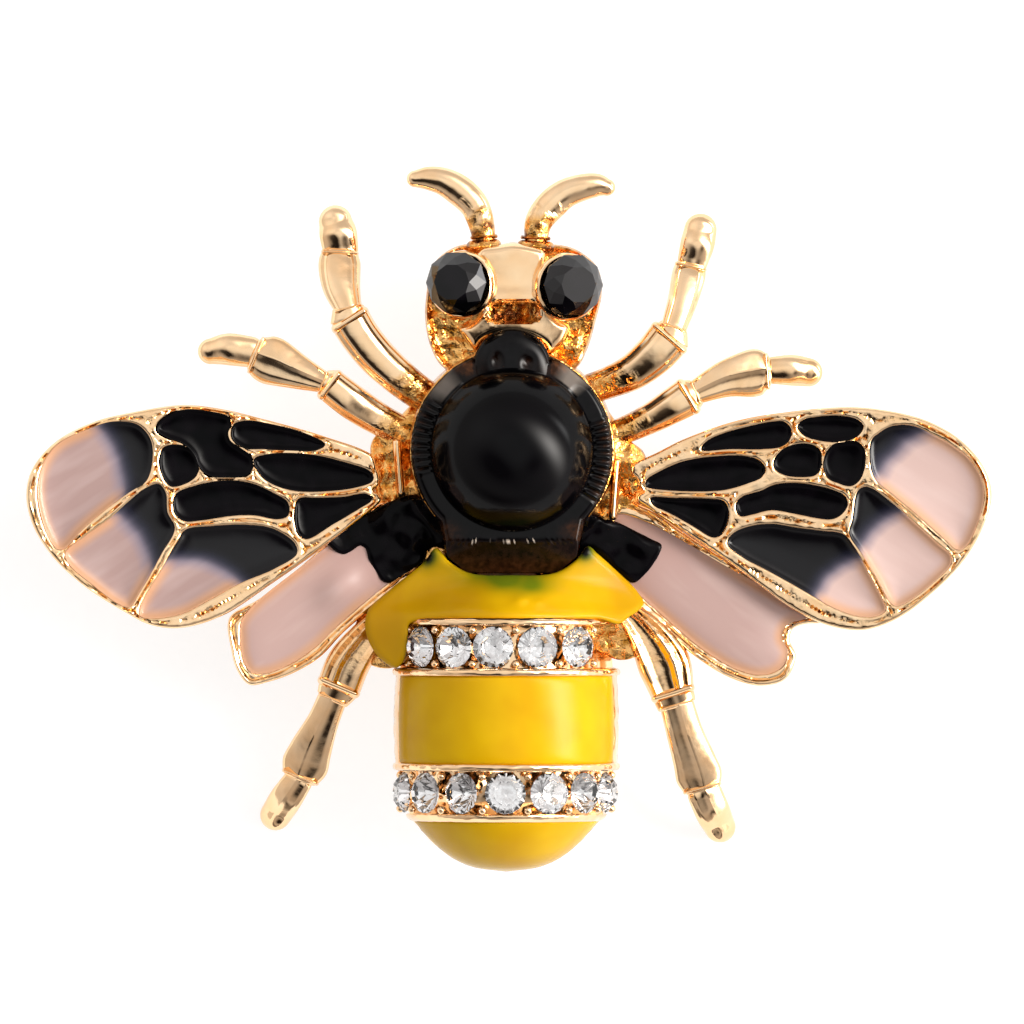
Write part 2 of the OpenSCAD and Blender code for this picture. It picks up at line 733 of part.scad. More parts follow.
translate([0, centre_shift, 0]) {
    casting();
    pin_back();
    thorax_ball();
    eye(LEFT);  // eye_left
    eye(RIGHT);  // eye_right
    thorax_enamel();
    abdomen_enamel(upper_band(), tail_half_angle);  // abdomen_enamel_upper
    abdomen_enamel(middle_band(), band_half_angle);  // abdomen_enamel_middle
    tail_enamel();  // abdomen_enamel_tail
    for (i = [1:upper_count])
        stone(upper_row, upper_first, stone_step(upper_row), i, 0);
    for (i = [1:lower_count])
        stone(lower_row, lower_first, stone_step(lower_row) + lower_slack, i,
                i == LOOSE_STONE ? loose_stone_lean : 0);
    for (i = [1:len(CELLS)]) {
        forewing_enamel(LEFT, i - 1);
        forewing_enamel(RIGHT, i - 1);
    }
    hindwing_enamel(LEFT);  // hindwing_enamel_left
    hindwing_enamel(RIGHT);  // hindwing_enamel_right
    wing_root_enamel(LEFT);  // wing_root_enamel_left
    wing_root_enamel(RIGHT);  // wing_root_enamel_right
}
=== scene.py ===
# Bee brooch: gold-plated cast metal with poured enamel, glass stones and a glossy black half-ball.
# Lengths are millimetres from the middle of the half-ball, heights are millimetres above the table.

import math

import bmesh
import bpy
import numpy as np
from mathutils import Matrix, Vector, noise
from mathutils.geometry import delaunay_2d_cdt
from mathutils.kdtree import KDTree


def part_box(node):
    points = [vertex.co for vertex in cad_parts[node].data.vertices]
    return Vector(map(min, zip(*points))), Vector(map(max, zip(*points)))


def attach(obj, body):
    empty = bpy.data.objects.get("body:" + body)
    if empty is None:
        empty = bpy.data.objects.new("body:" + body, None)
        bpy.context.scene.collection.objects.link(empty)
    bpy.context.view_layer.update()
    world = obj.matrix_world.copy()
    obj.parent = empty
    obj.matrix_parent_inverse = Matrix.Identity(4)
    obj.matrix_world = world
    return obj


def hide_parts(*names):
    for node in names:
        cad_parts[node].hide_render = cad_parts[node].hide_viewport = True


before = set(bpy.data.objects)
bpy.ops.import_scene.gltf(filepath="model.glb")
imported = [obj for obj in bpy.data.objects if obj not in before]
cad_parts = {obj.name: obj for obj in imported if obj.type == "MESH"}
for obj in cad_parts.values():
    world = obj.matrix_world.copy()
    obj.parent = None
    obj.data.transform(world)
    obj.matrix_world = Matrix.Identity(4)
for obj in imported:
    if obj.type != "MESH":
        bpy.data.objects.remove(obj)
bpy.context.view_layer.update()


# Forewings, the casting.
# Each is cast in zinc in one piece with the body and gold plated: a thick plate with a rolled rim, and
# wires between the cells that hold the enamel.

MM = 0.001
PIXEL_MM = 0.0488
BALL_PIXEL = (514, 450)
BALL_LOW, BALL_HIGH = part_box("thorax_ball")
BALL_Y = (BALL_LOW.y + BALL_HIGH.y) / 2 / MM

FOREWING_Z = 4.9
FOREWING_T = 1.1
CUP_R = 4.95
WING_TILT = math.radians(4)
WIRE_H = 0.22
WIRE_ROUND = 0.17
RIM_ROUND = 0.2
GROOVE_W = 0.07
GROOVE_D = 0.24
CELL_FLOOR = 0.42
BACK_ROUND = 0.1
CAST_STEP = 0.13

# Outlines and cells in pixels of the photograph.
FOREWING_OUTLINES = {
    "left": [
        (375, 456), (326, 436), (262, 418), (224, 409), (186, 405), (142, 411), (96, 422), (58, 442), (35, 469),
        (29, 495), (35, 524), (53, 554), (84, 584), (127, 612), (153, 625), (183, 628), (224, 616), (275, 583),
        (326, 547), (377, 507), (383, 500), (381, 494), (375, 490), (380, 486), (382, 478), (379, 468),
    ],
    "right": [
        (634, 466), (660, 452), (686, 439), (737, 421), (789, 412), (852, 407), (891, 411), (929, 421), (962, 440),
        (985, 467), (993, 494), (986, 523), (967, 558), (936, 591), (898, 619), (865, 630), (832, 626), (796, 610),
        (727, 560), (648, 507), (639, 501), (640, 495), (646, 491), (641, 487), (640, 480), (634, 474),
    ],
}
FOREWING_CELLS = {
    "left": {
        "tip_front": [
            (41, 492), (46, 466), (60, 446), (92, 430), (117, 423), (140, 426), (152, 440), (154, 458), (148, 480),
            (130, 492), (106, 510), (85, 528), (66, 548), (60, 548), (49, 530),
        ],
        "tip_middle": [
            (69, 553), (88, 537), (112, 520), (146, 491), (161, 485), (167, 493), (169, 513), (176, 528), (163, 553),
            (141, 592), (131, 606), (120, 602), (96, 584), (72, 563),
        ],
        "tip_hind": [
            (188, 531), (215, 527), (250, 526), (275, 530), (296, 544), (298, 553), (275, 568), (242, 582),
            (211, 599), (186, 612), (160, 617), (143, 615), (144, 605), (164, 571), (182, 540),
        ],
        "round": [(166, 449), (180, 446), (194, 451), (200, 462), (198, 475), (186, 483), (173, 485), (164, 470)],
        "top": [
            (162, 424), (172, 416), (188, 411), (212, 413), (230, 418), (232, 425), (229, 432), (231, 441), (243, 450),
            (253, 458), (254, 467), (249, 474), (228, 476), (210, 474), (202, 466), (197, 454), (186, 443),
            (170, 437), (160, 430),
        ],
        "slender": [
            (237, 425), (250, 422), (275, 426), (305, 434), (326, 445), (318, 449), (290, 449), (265, 448),
            (247, 447), (235, 438),
        ],
        "leaf": [
            (257, 460), (275, 455), (313, 456), (345, 463), (372, 473), (374, 480), (359, 486), (330, 490),
            (300, 490), (277, 484), (262, 473),
        ],
        "triangle": [
            (301, 500), (320, 499), (345, 498), (368, 495), (373, 499), (360, 508), (335, 523), (308, 538),
            (301, 533), (298, 515),
        ],
        "long": [
            (178, 496), (194, 488), (215, 483), (240, 482), (258, 486), (275, 494), (289, 503), (289, 515),
            (280, 518), (255, 514), (230, 515), (205, 519), (187, 520), (178, 513),
        ],
    },
    "right": {
        "tip_front": [
            (874, 441), (881, 434), (895, 427), (914, 427), (930, 434), (951, 445), (970, 460), (982, 480),
            (984, 500), (977, 525), (967, 545), (960, 549), (944, 536), (916, 511), (893, 492), (878, 479),
            (873, 464),
        ],
        "tip_middle": [
            (860, 492), (866, 488), (874, 490), (893, 504), (916, 524), (938, 544), (951, 556), (951, 564),
            (938, 578), (916, 596), (898, 605), (892, 601), (880, 579), (863, 551), (852, 533), (855, 520),
        ],
        "tip_hind": [
            (730, 543), (736, 534), (750, 528), (773, 525), (799, 529), (824, 532), (844, 535), (855, 548),
            (868, 571), (884, 602), (886, 610), (878, 615), (860, 615), (834, 606), (812, 593), (773, 571), (745, 556),
        ],
        "round": [
            (829, 453), (835, 446), (846, 443), (859, 443), (865, 450), (865, 467), (860, 480), (852, 485),
            (840, 482), (830, 477), (826, 465),
        ],
        "top": [
            (800, 427), (805, 421), (819, 418), (840, 417), (857, 420), (864, 426), (860, 434), (850, 439),
            (834, 441), (819, 439), (807, 435),
        ],
        "centre": [
            (777, 460), (786, 450), (801, 445), (814, 446), (821, 451), (821, 468), (817, 474), (803, 476),
            (787, 474), (777, 468),
        ],
        "slender": [
            (704, 449), (711, 441), (730, 433), (753, 427), (773, 423), (786, 423), (792, 430), (790, 440),
            (781, 446), (763, 448), (732, 448),
        ],
        "leaf": [
            (649, 481), (661, 473), (684, 463), (712, 458), (743, 457), (760, 461), (766, 468), (763, 476),
            (750, 482), (725, 489), (687, 490), (658, 488), (649, 486),
        ],
        "triangle": [
            (653, 499), (676, 499), (712, 500), (725, 502), (729, 509), (728, 523), (721, 535), (714, 536),
            (697, 526), (674, 513), (656, 504),
        ],
        "long": [
            (739, 510), (739, 503), (746, 497), (763, 492), (776, 486), (794, 484), (814, 486), (834, 491),
            (846, 497), (848, 505), (842, 514), (833, 518), (819, 517), (799, 513), (773, 509), (755, 513), (742, 515),
        ],
    },
}


def spot(pixel):
    """Millimetres from the middle of the half-ball for a pixel of the photograph."""
    return ((pixel[0] - BALL_PIXEL[0]) * PIXEL_MM, (BALL_PIXEL[1] - pixel[1]) * PIXEL_MM)


def curve(points, step, closed=True):
    """Points about step apart along a smooth curve through the given ones."""
    p = np.array(points, float)
    p = np.vstack([p[-1:], p, p[:2]]) if closed else np.vstack([2 * p[0] - p[1], p, 2 * p[-1] - p[-2]])
    found = []
    for a, b, c, d in zip(p, p[1:], p[2:], p[3:]):
        ab, bc, cd = (max(np.linalg.norm(v), 1e-6) ** 0.5 for v in (b - a, c - b, d - c))
        leave = bc * ((b - a) / ab - (c - a) / (ab + bc) + (c - b) / bc)
        reach = bc * ((c - b) / bc - (d - b) / (bc + cd) + (d - c) / cd)
        parts = max(1, round(bc ** 2 / step))
        for u in np.arange(parts) / parts:
            found.append(
                (2 * u ** 3 - 3 * u ** 2 + 1) * b + (u ** 3 - 2 * u ** 2 + u) * leave
                + (3 * u ** 2 - 2 * u ** 3) * c + (u ** 3 - u ** 2) * reach
            )
    if not closed:
        found.append(p[-2])
    return np.array(found)


def loop(pixels):
    """A closed curve through pixels of the photograph."""
    return curve([spot(p) for p in pixels], CAST_STEP)


def distance(points, loops):
    """Shortest distance from each point to the closed loops."""
    here = np.vstack(loops)
    after = np.vstack([np.roll(ring, -1, axis=0) for ring in loops])
    before = np.vstack([np.roll(ring, 1, axis=0) for ring in loops])
    tree = KDTree(len(here))
    for i, (x, y) in enumerate(here):
        tree.insert((x, y, 0), i)
    tree.balance()
    near = [tree.find((x, y, 0))[1] for x, y in points]
    best = np.full(len(points), 1e9)
    for ends in (after, before):
        a, d = here[near], ends[near] - here[near]
        t = np.clip(((points - a) * d).sum(axis=1) / np.maximum((d ** 2).sum(axis=1), 1e-12), 0, 1)
        best = np.minimum(best, np.linalg.norm(points - a - t[:, None] * d, axis=1))
    return best


def inside(points, ring):
    """Which points lie inside a closed loop."""
    x, y = points[:, :1], points[:, 1:]
    a, b = ring, np.roll(ring, -1, axis=0)
    rise = np.where(b[:, 1] == a[:, 1], 1e-12, b[:, 1] - a[:, 1])
    crosses = (a[:, 1] > y) != (b[:, 1] > y)
    return (crosses & (x < a[:, 0] + (y - a[:, 1]) * (b[:, 0] - a[:, 0]) / rise)).sum(axis=1) % 2 == 1


def grown(ring, gap):
    """A loop moved outwards by gap, or inwards where gap is negative."""
    x, y = ring.T
    turn = -1 if (x * np.roll(y, -1) - np.roll(x, -1) * y).sum() > 0 else 1
    along = np.roll(ring, -1, axis=0) - np.roll(ring, 1, axis=0)
    along /= np.maximum(np.linalg.norm(along, axis=1, keepdims=True), 1e-9)
    return ring + turn * gap * np.column_stack([-along[:, 1], along[:, 0]])


def relief(outline, top, back, walls=(), rows=(0.04, 0.1), spacing=0.3):
    """A closed casting inside an outline, raised to top(points, distance from the outline) over back(points).

    Its triangles have edges along the walls, with rows of points beside them and a triangular grid elsewhere.
    """
    rings = [outline, *walls]
    fixed = np.vstack(rings)
    edges = []
    for ring in rings:
        first = edges[-1][0] + 1 if edges else 0
        edges += [(first + k, first + (k + 1) % len(ring)) for k in range(len(ring))]
    low, high = outline.min(axis=0), outline.max(axis=0)
    free = [np.array([
        (x + (k % 2) * spacing / 2, y)
        for k, y in enumerate(np.arange(low[1], high[1], spacing * 0.87))
        for x in np.arange(low[0], high[0], spacing)
    ])]
    room = [np.full(len(free[0]), rows[-1] + spacing / 2)]
    for row in rows:
        free += [grown(ring, gap) for ring in rings for gap in (-row, row)]
        room += [np.full(2 * len(ring), row * 0.93) for ring in rings]
    free, room = np.vstack(free), np.concatenate(room)
    free = free[inside(free, outline) & (distance(free, rings) >= room)]
    points = [tuple(p) for p in np.vstack([fixed, free])]
    found = delaunay_2d_cdt(points, edges, [], 1, 1e-6)
    flat = np.array([tuple(p) for p in found[0]])
    place = {source: i for i, sources in enumerate(found[3]) for source in sources}
    rim = [place[k] for k in range(len(outline))]

    gap = distance(flat, [outline])
    high = top(flat, gap)
    under = np.minimum(back(flat) + BACK_ROUND * np.maximum(1 - gap / BACK_ROUND, 0) ** 2, high - 0.02)
    points = np.vstack([np.column_stack([flat, high]), np.column_stack([flat, under])])
    count = len(flat)
    faces = [tuple(face) for face in found[2]]
    faces += [tuple(i + count for i in face[::-1]) for face in faces]
    faces += [(a + count, b + count, b, a) for a, b in zip(rim, rim[1:] + rim[:1]) if a != b]
    return points, faces


def piece(name, shape, material, nodes, sharp=40):
    """A mesh object of the given points and faces that rides on the brooch and stands for its CAD nodes."""
    points, faces = shape
    mesh = bpy.data.meshes.new(name)
    mesh.from_pydata([(x * MM, (y + BALL_Y) * MM, z * MM) for x, y, z in points], [], faces)
    skin = bmesh.new()
    skin.from_mesh(mesh)
    bmesh.ops.recalc_face_normals(skin, faces=skin.faces)
    skin.to_mesh(mesh)
    skin.free()
    mesh.polygons.foreach_set("use_smooth", [True] * len(mesh.polygons))
    mesh.set_sharp_from_angle(angle=math.radians(sharp))
    mesh.materials.append(material)
    obj = bpy.data.objects.new(name, mesh)
    bpy.context.scene.collection.objects.link(obj)
    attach(obj, "root")
    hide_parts(*nodes)
    return obj


def rough(points, size, seed):
    """Smooth random bumps from -1 to 1, size millimetres apart."""
    return np.array([noise.noise((p[0] / size, p[1] / size, seed)) for p in points])


def rounded(gap, radius):
    """Quarter round from 0 at a wall to 1 at the given distance from it."""
    return np.sqrt(1 - (1 - np.clip(gap / radius, 0, 1)) ** 2)


def wing_lift(points):
    """How far a forewing has risen, from the cup outwards."""
    return (np.abs(points[:, 0]) - CUP_R) * math.tan(WING_TILT)


def to_linear(colour):
    """Linear colour of an sRGB hex value."""
    parts = [int(colour[i:i + 2], 16) / 255 for i in (1, 3, 5)]
    return tuple(c / 12.92 if c <= 0.04045 else ((c + 0.055) / 1.055) ** 2.4 for c in parts) + (1.0,)


def add(tree, kind, inputs, **settings):
    """A shader node with its settings, and its inputs set to values or linked to other nodes' outputs."""
    node = tree.nodes.new(kind)
    for key, value in settings.items():
        setattr(node, key, value)
    for key, value in inputs.items():
        if isinstance(value, bpy.types.NodeSocket):
            tree.links.new(value, node.inputs[key])
        else:
            node.inputs[key].default_value = value
    return node


def ramp(tree, fac, *stops, interpolation="LINEAR"):
    """The colour from a ramp of (position, sRGB colour) stops, the first and last one first."""
    node = add(tree, "ShaderNodeValToRGB", {"Fac": fac})
    node.color_ramp.interpolation = interpolation
    for i, (position, colour) in enumerate(stops):
        stop = node.color_ramp.elements[i] if i < 2 else node.color_ramp.elements.new(position)
        stop.position = position
        stop.color = to_linear(colour)
    return node.outputs["Color"]


def clouds(tree, place, size, detail, roughness=0.5):
    """Smooth noise from 0 to 1, size millimetres apart."""
    return add(tree, "ShaderNodeTexNoise", {
        "Vector": place, "Scale": 1 / size, "Detail": detail, "Roughness": roughness,
    }).outputs["Fac"]


def worked_out(tree, operation, *values, **settings):
    """The number that an operation gives for one or more values."""
    return add(tree, "ShaderNodeMath", dict(enumerate(values)), operation=operation, **settings).outputs[0]


def scaled(tree, value, low, high, to_low=0.0, to_high=1.0, **settings):
    """A value between low and high scaled to lie between to_low and to_high."""
    return add(tree, "ShaderNodeMapRange", {
        "Value": value, "From Min": low, "From Max": high, "To Min": to_low, "To Max": to_high,
    }, **settings).outputs[0]


def bumped(tree, height, strength, depth, **over):
    """A surface that a height between 0 and 1 lifts by up to depth millimetres, times the strength."""
    return add(tree, "ShaderNodeBump", {
        "Height": height, "Strength": strength, "Distance": depth * MM, **over,
    }).outputs[0]


def stored(tree, name):
    """The value that the points of a piece have under a name."""
    return add(tree, "ShaderNodeAttribute", {}, attribute_name=name).outputs["Fac"]


def blend(tree, share, first, second, **settings):
    """A mix of two colours by the share of the second one, or another blend of them by that share."""
    return add(tree, "ShaderNodeMix", {0: share, 6: first, 7: second}, data_type="RGBA", **settings).outputs[2]


def new_material(name):
    """An empty material, its tree, and the place in millimetres of each point of the surface."""
    material = bpy.data.materials.new(name)
    material.use_nodes = True
    tree = material.node_tree
    tree.nodes.clear()
    place = add(tree, "ShaderNodeTexCoord", {}).outputs["Object"]
    place = add(tree, "ShaderNodeVectorMath", {0: place, 1: (1 / MM, 1 / MM, 1 / MM)}, operation="MULTIPLY")
    return material, tree, place.outputs[0]


def finish_material(tree, **inputs):
    """The surface's shader and output, with the shader's sockets written as words joined by underscores."""
    shader = add(tree, "ShaderNodeBsdfPrincipled", {key.replace("_", " "): value for key, value in inputs.items()})
    add(tree, "ShaderNodeOutputMaterial", {"Surface": shader.outputs[0]})


# Polished zinc casting with a champagne gold flash. The plating softens every edge and keeps the faint waves,
# a millimetre long, that polishing leaves. Where the metal was left as it came out of the mould, lumpy and
# pitted, the same plating is drawn deeper and redder, with painted shade darkening the hollows of its lumps,
# and a darker brown painted shade in the hollows where a piece's stored share goes over 1.
# The grain is drawn coarser than the real one, as coarse as it needs to be to show.
WAVE_MM = 1.3
GRAIN_MM = 0.12
LUMP_MM = 0.45


def gold_over_zinc(name, all_cast=False):
    """Gold plate that is polished, or as cast all over, or as cast by the share stored in a piece's points."""
    material, tree, place = new_material(name)
    wave = clouds(tree, place, WAVE_MM, 2.0)
    grain = clouds(tree, place, GRAIN_MM, 2.0)
    tone = ramp(tree, wave, (0.3, "#F9CE9C"), (0.7, "#FFDDB2"))
    polish = scaled(tree, wave, 0.0, 1.0, 0.06, 0.16)
    bump = bumped(tree, wave, 0.5, 0.1)
    bump = bumped(tree, grain, 0.15, 0.012, Normal=bump)
    lump = clouds(tree, place, LUMP_MM, 3.0, roughness=0.6)
    # Painted shade: the lump noise that sinks the bump also draws its hollows dark brown.
    deep = ramp(tree, lump, (0.26, "#7A4218"), (0.6, "#F4BC72"), (0.36, "#C68432"))
    if not all_cast:
        share = stored(tree, "as_cast_and_shade")
        # Painted shade: where the stored share goes over 1, the hollows are drawn darker brown still.
        hollow_shade = worked_out(tree, "SUBTRACT", share, 1.0, use_clamp=True)
        deep = blend(tree, hollow_shade, deep, to_linear("#683826"))
        tone = blend(tree, share, tone, deep)
        height = worked_out(tree, "MULTIPLY", share, lump)
    else:
        tone, height = deep, lump
    bump = bumped(tree, height, 0.6, 0.2, Normal=bump)
    finish_material(tree, Base_Color=tone, Metallic=1.0, Roughness=polish, Normal=bump)
    return material


gold_plate = gold_over_zinc("champagne_gold_plate")
as_cast_gold = gold_over_zinc("as_cast_gold_plate", all_cast=True)


def cast_piece(name, shape, metal=gold_plate):
    """A piece of the one casting."""
    return piece(name, shape, metal, ["casting"])


def places(obj):
    """Where the points of a piece are, in millimetres from the middle of the half-ball and above the table."""
    return np.array([(v.co.x / MM, v.co.y / MM - BALL_Y, v.co.z / MM) for v in obj.data.vertices])


def store(obj, name, values):
    """Stores a value for each point of a piece, for its material to read."""
    layer = obj.data.attributes.new(name, "FLOAT", "POINT")
    layer.data.foreach_set("value", values.astype(np.float32))


def leave_cast(obj, share, hollow_shade):
    """Stores how far each point of a piece was left as cast, from 0 to 1, and over 1 where painted shade darkens its
    hollows.

    The share is worked out from places in millimetres. The last number sets how much painted shade is added: 0 paints
    little, and 1 covers most.
    """
    spots = places(obj)
    cast = np.clip(share(spots), 0, 1)
    # Painted shade: a share over 1, spread by noise, darkens the hollows.
    cast += 0.9 * cast * np.clip(2.5 * rough(spots, 0.4, 37.0) + hollow_shade - 0.5, 0, 1)
    store(obj, "as_cast_and_shade", cast)


for side, pixels in FOREWING_OUTLINES.items():
    outline = loop(pixels)
    cells = [loop(cell) for cell in FOREWING_CELLS[side].values()]

    def groove_between(points, rings):
        """Broken grooves midway between the outline's rim and the wires of the cells."""
        nearest, second = np.sort([distance(points, [ring]) for ring in rings], axis=0)[:2]
        groove = np.exp(-((second - nearest) / GROOVE_W) ** 2) * np.clip((nearest - 0.08) / 0.05, 0, 1)
        return groove * np.clip(0.75 + 1.1 * rough(points, 0.9, 1.0), 0, 1)

    def forewing_top(points, gap):
        """Rolled rim, wires round the cells with grooves between them, and the floors of the cells."""
        wire = distance(points, cells)
        floor = np.zeros(len(points), bool)
        for cell in cells:
            floor |= inside(points, cell) & (wire > 0.02)
        crest = np.minimum(rounded(gap, RIM_ROUND), rounded(wire, WIRE_ROUND))
        cast = 0.03 * rough(points, 0.6, 2.0) + 0.02 * rough(points, 0.22, 5.0)
        top = FOREWING_Z + FOREWING_T - WIRE_H + (WIRE_H + cast) * crest
        top -= GROOVE_D * groove_between(points, [outline, *cells])
        return np.where(floor, FOREWING_Z + FOREWING_T - CELL_FLOOR, top) + wing_lift(points)

    wing = relief(
        outline, forewing_top, lambda p: FOREWING_Z + wing_lift(p), cells,
        rows=(0.03, 0.08, 0.14, 0.2, 0.26), spacing=0.12,
    )
    obj = cast_piece(f"forewing_{side}_casting", wing)
    # The grooves are left as cast, with painted shade in them.
    leave_cast(obj, lambda p: groove_between(p[:, :2], [outline, *cells]), 0.6)


# Forewings, the enamel.
# Cold enamel, a tinted epoxy, is dropped into each cell and draws up a little at the wires as it cures.
# The three cells at the tip are run together wet, from black near the root to a nude pink.

ENAMEL_DROP = 0.1
ENAMEL_T = 0.3
DISH = 0.26
DISH_W = 0.42
DRAWN_UP = 0.04
UNDER_WIRE = 0.05
OVERRUN = 0.12
STREAK_ANGLE = 32
CELL_NUMBERS = {
    "tip_front": 1, "tip_middle": 2, "tip_hind": 3, "round": 4, "top": 5, "centre": 6, "slender": 7, "leaf": 8,
    "triangle": 9, "long": 10,
}
# The middle of the pink, the radius where it is clean and the radius where it is black, in pixels.
FADES = {
    ("left", "tip_front"): ((29, 493), 84, 118),
    ("left", "tip_middle"): ((77, 580), 64, 100),
    ("left", "tip_hind"): ((184, 645), 74, 104),
    ("right", "tip_front"): ((967, 523), 86, 122),
    ("right", "tip_middle"): ((924, 574), 54, 86),
    ("right", "tip_hind"): ((868, 610), 40, 70),
}

# Glossy black epoxy: nearly mirror smooth, with slow swells where it pooled.
black_enamel, tree, place = new_material("black_epoxy_enamel")
pool = clouds(tree, place, 0.9, 1.0)
tone = ramp(tree, pool, (0.3, "#020203"), (0.7, "#080609"))
bump = bumped(tree, pool, 0.3, 0.06)
finish_material(tree, Base_Color=tone, Roughness=0.1, IOR=1.5, Specular_IOR_Level=0.07, Normal=bump)


def run_enamel(name, middle, clean_r, dark_r, streak, *stops):
    """Epoxy that changes colour around a pixel of the photograph, from clean_r pixels away to dark_r.

    Faint streaks lie at an angle where it was drawn out, and gold shows through as peach near the walls.
    """
    material, tree, place = new_material(name)
    x, y = spot(middle)
    away = add(tree, "ShaderNodeVectorMath", {0: place, 1: (x, y + BALL_Y, 0)}, operation="SUBTRACT")
    away = add(tree, "ShaderNodeVectorMath", {0: away.outputs[0], 1: (1, 1, 0)}, operation="MULTIPLY")
    away = add(tree, "ShaderNodeVectorMath", {0: away.outputs[0]}, operation="LENGTH")
    drawn = add(tree, "ShaderNodeMapping", {
        "Vector": place, "Rotation": (0, 0, math.radians(streak)), "Scale": (5, 0.9, 1),
    }, vector_type="TEXTURE")
    wisp = clouds(tree, drawn.outputs[0], 1.0, 2.0)
    level = worked_out(
        tree, "MULTIPLY_ADD", wisp, (clean_r - dark_r) * PIXEL_MM * 0.16, away.outputs["Value"],
    )
    half_wisp = 0.08 * (clean_r - dark_r)
    level = scaled(tree, level, (dark_r + half_wisp) * PIXEL_MM, (clean_r + half_wisp) * PIXEL_MM)
    fade = ramp(tree, level, *stops, interpolation="B_SPLINE")
    thin = scaled(tree, wisp, 0.45, 0.75, 0.0, 0.12)
    milky = blend(tree, thin, fade, to_linear("#EFDCD6"), blend_type="SCREEN")
    edge = stored(tree, "wall_gap")
    glow = scaled(tree, edge, 0.05, 0.6, 0.75, 0.0, interpolation_type="SMOOTHSTEP")
    pale = scaled(tree, level, 0.55, 0.95)
    lit = worked_out(tree, "MULTIPLY", glow, pale)
    milky = blend(tree, pale, fade, milky)
    colour = blend(tree, lit, milky, to_linear("#C89468"))
    finish_material(tree, Base_Color=colour, Roughness=0.16, IOR=1.5, Specular_IOR_Level=0.3)
    return material


def pour(name, ring, level, lift, material, nodes, dish=DISH, dish_w=DISH_W):
    """Enamel that fills a cell up to its wires, dished in the middle, with its edge drawn up at the wall."""
    edge = grown(ring, UNDER_WIRE)

    def pool_top(points, gap):
        inner = np.maximum(gap - UNDER_WIRE, 0)
        return level + DRAWN_UP * np.exp(-inner / 0.05) - dish * (1 - np.exp(-inner / dish_w)) + lift(points)

    filled = relief(
        edge, pool_top, lambda p: level - ENAMEL_T + lift(p), rows=(0.05, 0.1, 0.17, 0.26), spacing=0.24,
    )
    obj = piece(name, filled, material, nodes, sharp=60)
    store(obj, "wall_gap", distance(places(obj)[:, :2], [edge]))


for side, cells in FOREWING_CELLS.items():
    for cell, pixels in cells.items():
        nodes = [f"forewing_enamel_{side}_{CELL_NUMBERS[cell]}"]
        level = FOREWING_Z + FOREWING_T - ENAMEL_DROP
        if side == "left" and cell == "top":
            # Here the black ran over the wire into the next cell and up onto the rim.
            nodes.append("forewing_enamel_left_6")
            level += OVERRUN
        material, slot = black_enamel, "black_enamel"
        if (side, cell) in FADES:
            material = run_enamel(
                f"black_to_nude_enamel_{side}_{cell}", *FADES[side, cell],
                STREAK_ANGLE if side == "left" else -STREAK_ANGLE,
                (0.0, "#070608"), (1.0, "#9E827A" if side == "left" else "#D3B5AB"), (0.25, "#0C0B10"),
                (0.5, "#262838"), (0.7, "#837A88"),
            )
            slot = "pink_enamel"
        pour(f"forewing_{side}_{cell}_enamel", loop(pixels), level, wing_lift, material, nodes)


# Hindwings.
# A thinner plate under each forewing with one long cell of nude pink enamel, and a thick puddle of black
# enamel over its root, where it meets the thorax.

HINDWING_Z = 4.0
HINDWING_T = 1.0
HIND_GROOVE_IN = 0.27
HIND_GROOVE_W = 0.06
HIND_GROOVE_D = 0.16
DROP_PIXEL = (341, 588)
DROP_H = 0.45
# The middle of the pink in pixels, and the angle of its streaks.
HINDWING_FADES = {"left": ((300, 640), 38), "right": ((720, 640), -38)}
HINDWING_OUTLINES = {
    "left": [
        (426, 566), (403, 584), (379, 604), (346, 632), (321, 658), (296, 673), (271, 682), (251, 685), (239, 671),
        (233, 650), (231, 618), (262, 598), (310, 560), (350, 524), (390, 500), (424, 500),
    ],
    "right": [
        (604, 566), (625, 592), (661, 625), (699, 658), (732, 678), (763, 686), (788, 679), (798, 656), (792, 640),
        (795, 629), (808, 624), (824, 622), (822, 606), (790, 588), (740, 565), (690, 535), (650, 508),
        (620, 500), (604, 510),
    ],
}
HINDWING_CELLS = {
    "left": [
        (244, 622), (258, 604), (300, 570), (340, 540), (372, 520), (404, 516), (418, 528), (418, 558), (400, 574),
        (375, 594), (340, 624), (318, 645), (296, 661), (270, 672), (254, 672), (246, 660), (243, 640),
    ],
    "right": [
        (608, 530), (620, 516), (650, 524), (688, 544), (740, 574), (790, 601), (812, 614), (804, 619),
        (792, 622), (785, 629), (783, 638), (789, 652), (783, 667), (764, 674), (738, 668), (706, 649),
        (668, 617), (632, 584), (612, 560),
    ],
}
ROOT_PUDDLES = {
    "left": [
        (446, 520), (430, 494), (413, 494), (399, 498), (386, 504), (371, 514), (352, 522), (335, 530), (323, 535),
        (324, 541), (331, 546), (338, 552), (346, 555), (353, 552), (362, 546), (367, 549), (370, 560), (377, 571),
        (384, 581), (392, 583), (403, 576), (415, 569), (424, 562), (427, 553), (436, 547), (452, 550),
    ],
    "right": [
        (578, 548), (586, 500), (600, 512), (612, 519), (624, 524), (638, 531), (652, 538), (664, 545), (662, 554),
        (655, 566), (645, 577), (635, 583), (622, 574), (610, 565), (600, 556), (590, 550), (582, 556),
    ],
}


def hind_lift(points):
    """A hindwing rises with the forewing over it, but its root under the thorax is nearly level."""
    return np.maximum(wing_lift(points), -0.1)


def swelled(points):
    """Height of the enamel, with a drop on the left wing where the most was poured."""
    x, y = spot(DROP_PIXEL)
    along = (points[:, 0] - x) * 0.8 + (points[:, 1] - y) * 0.6
    across = (points[:, 1] - y) * 0.8 - (points[:, 0] - x) * 0.6
    return hind_lift(points) + DROP_H * np.exp(-(along / 1.2) ** 2 - (across / 0.8) ** 2)


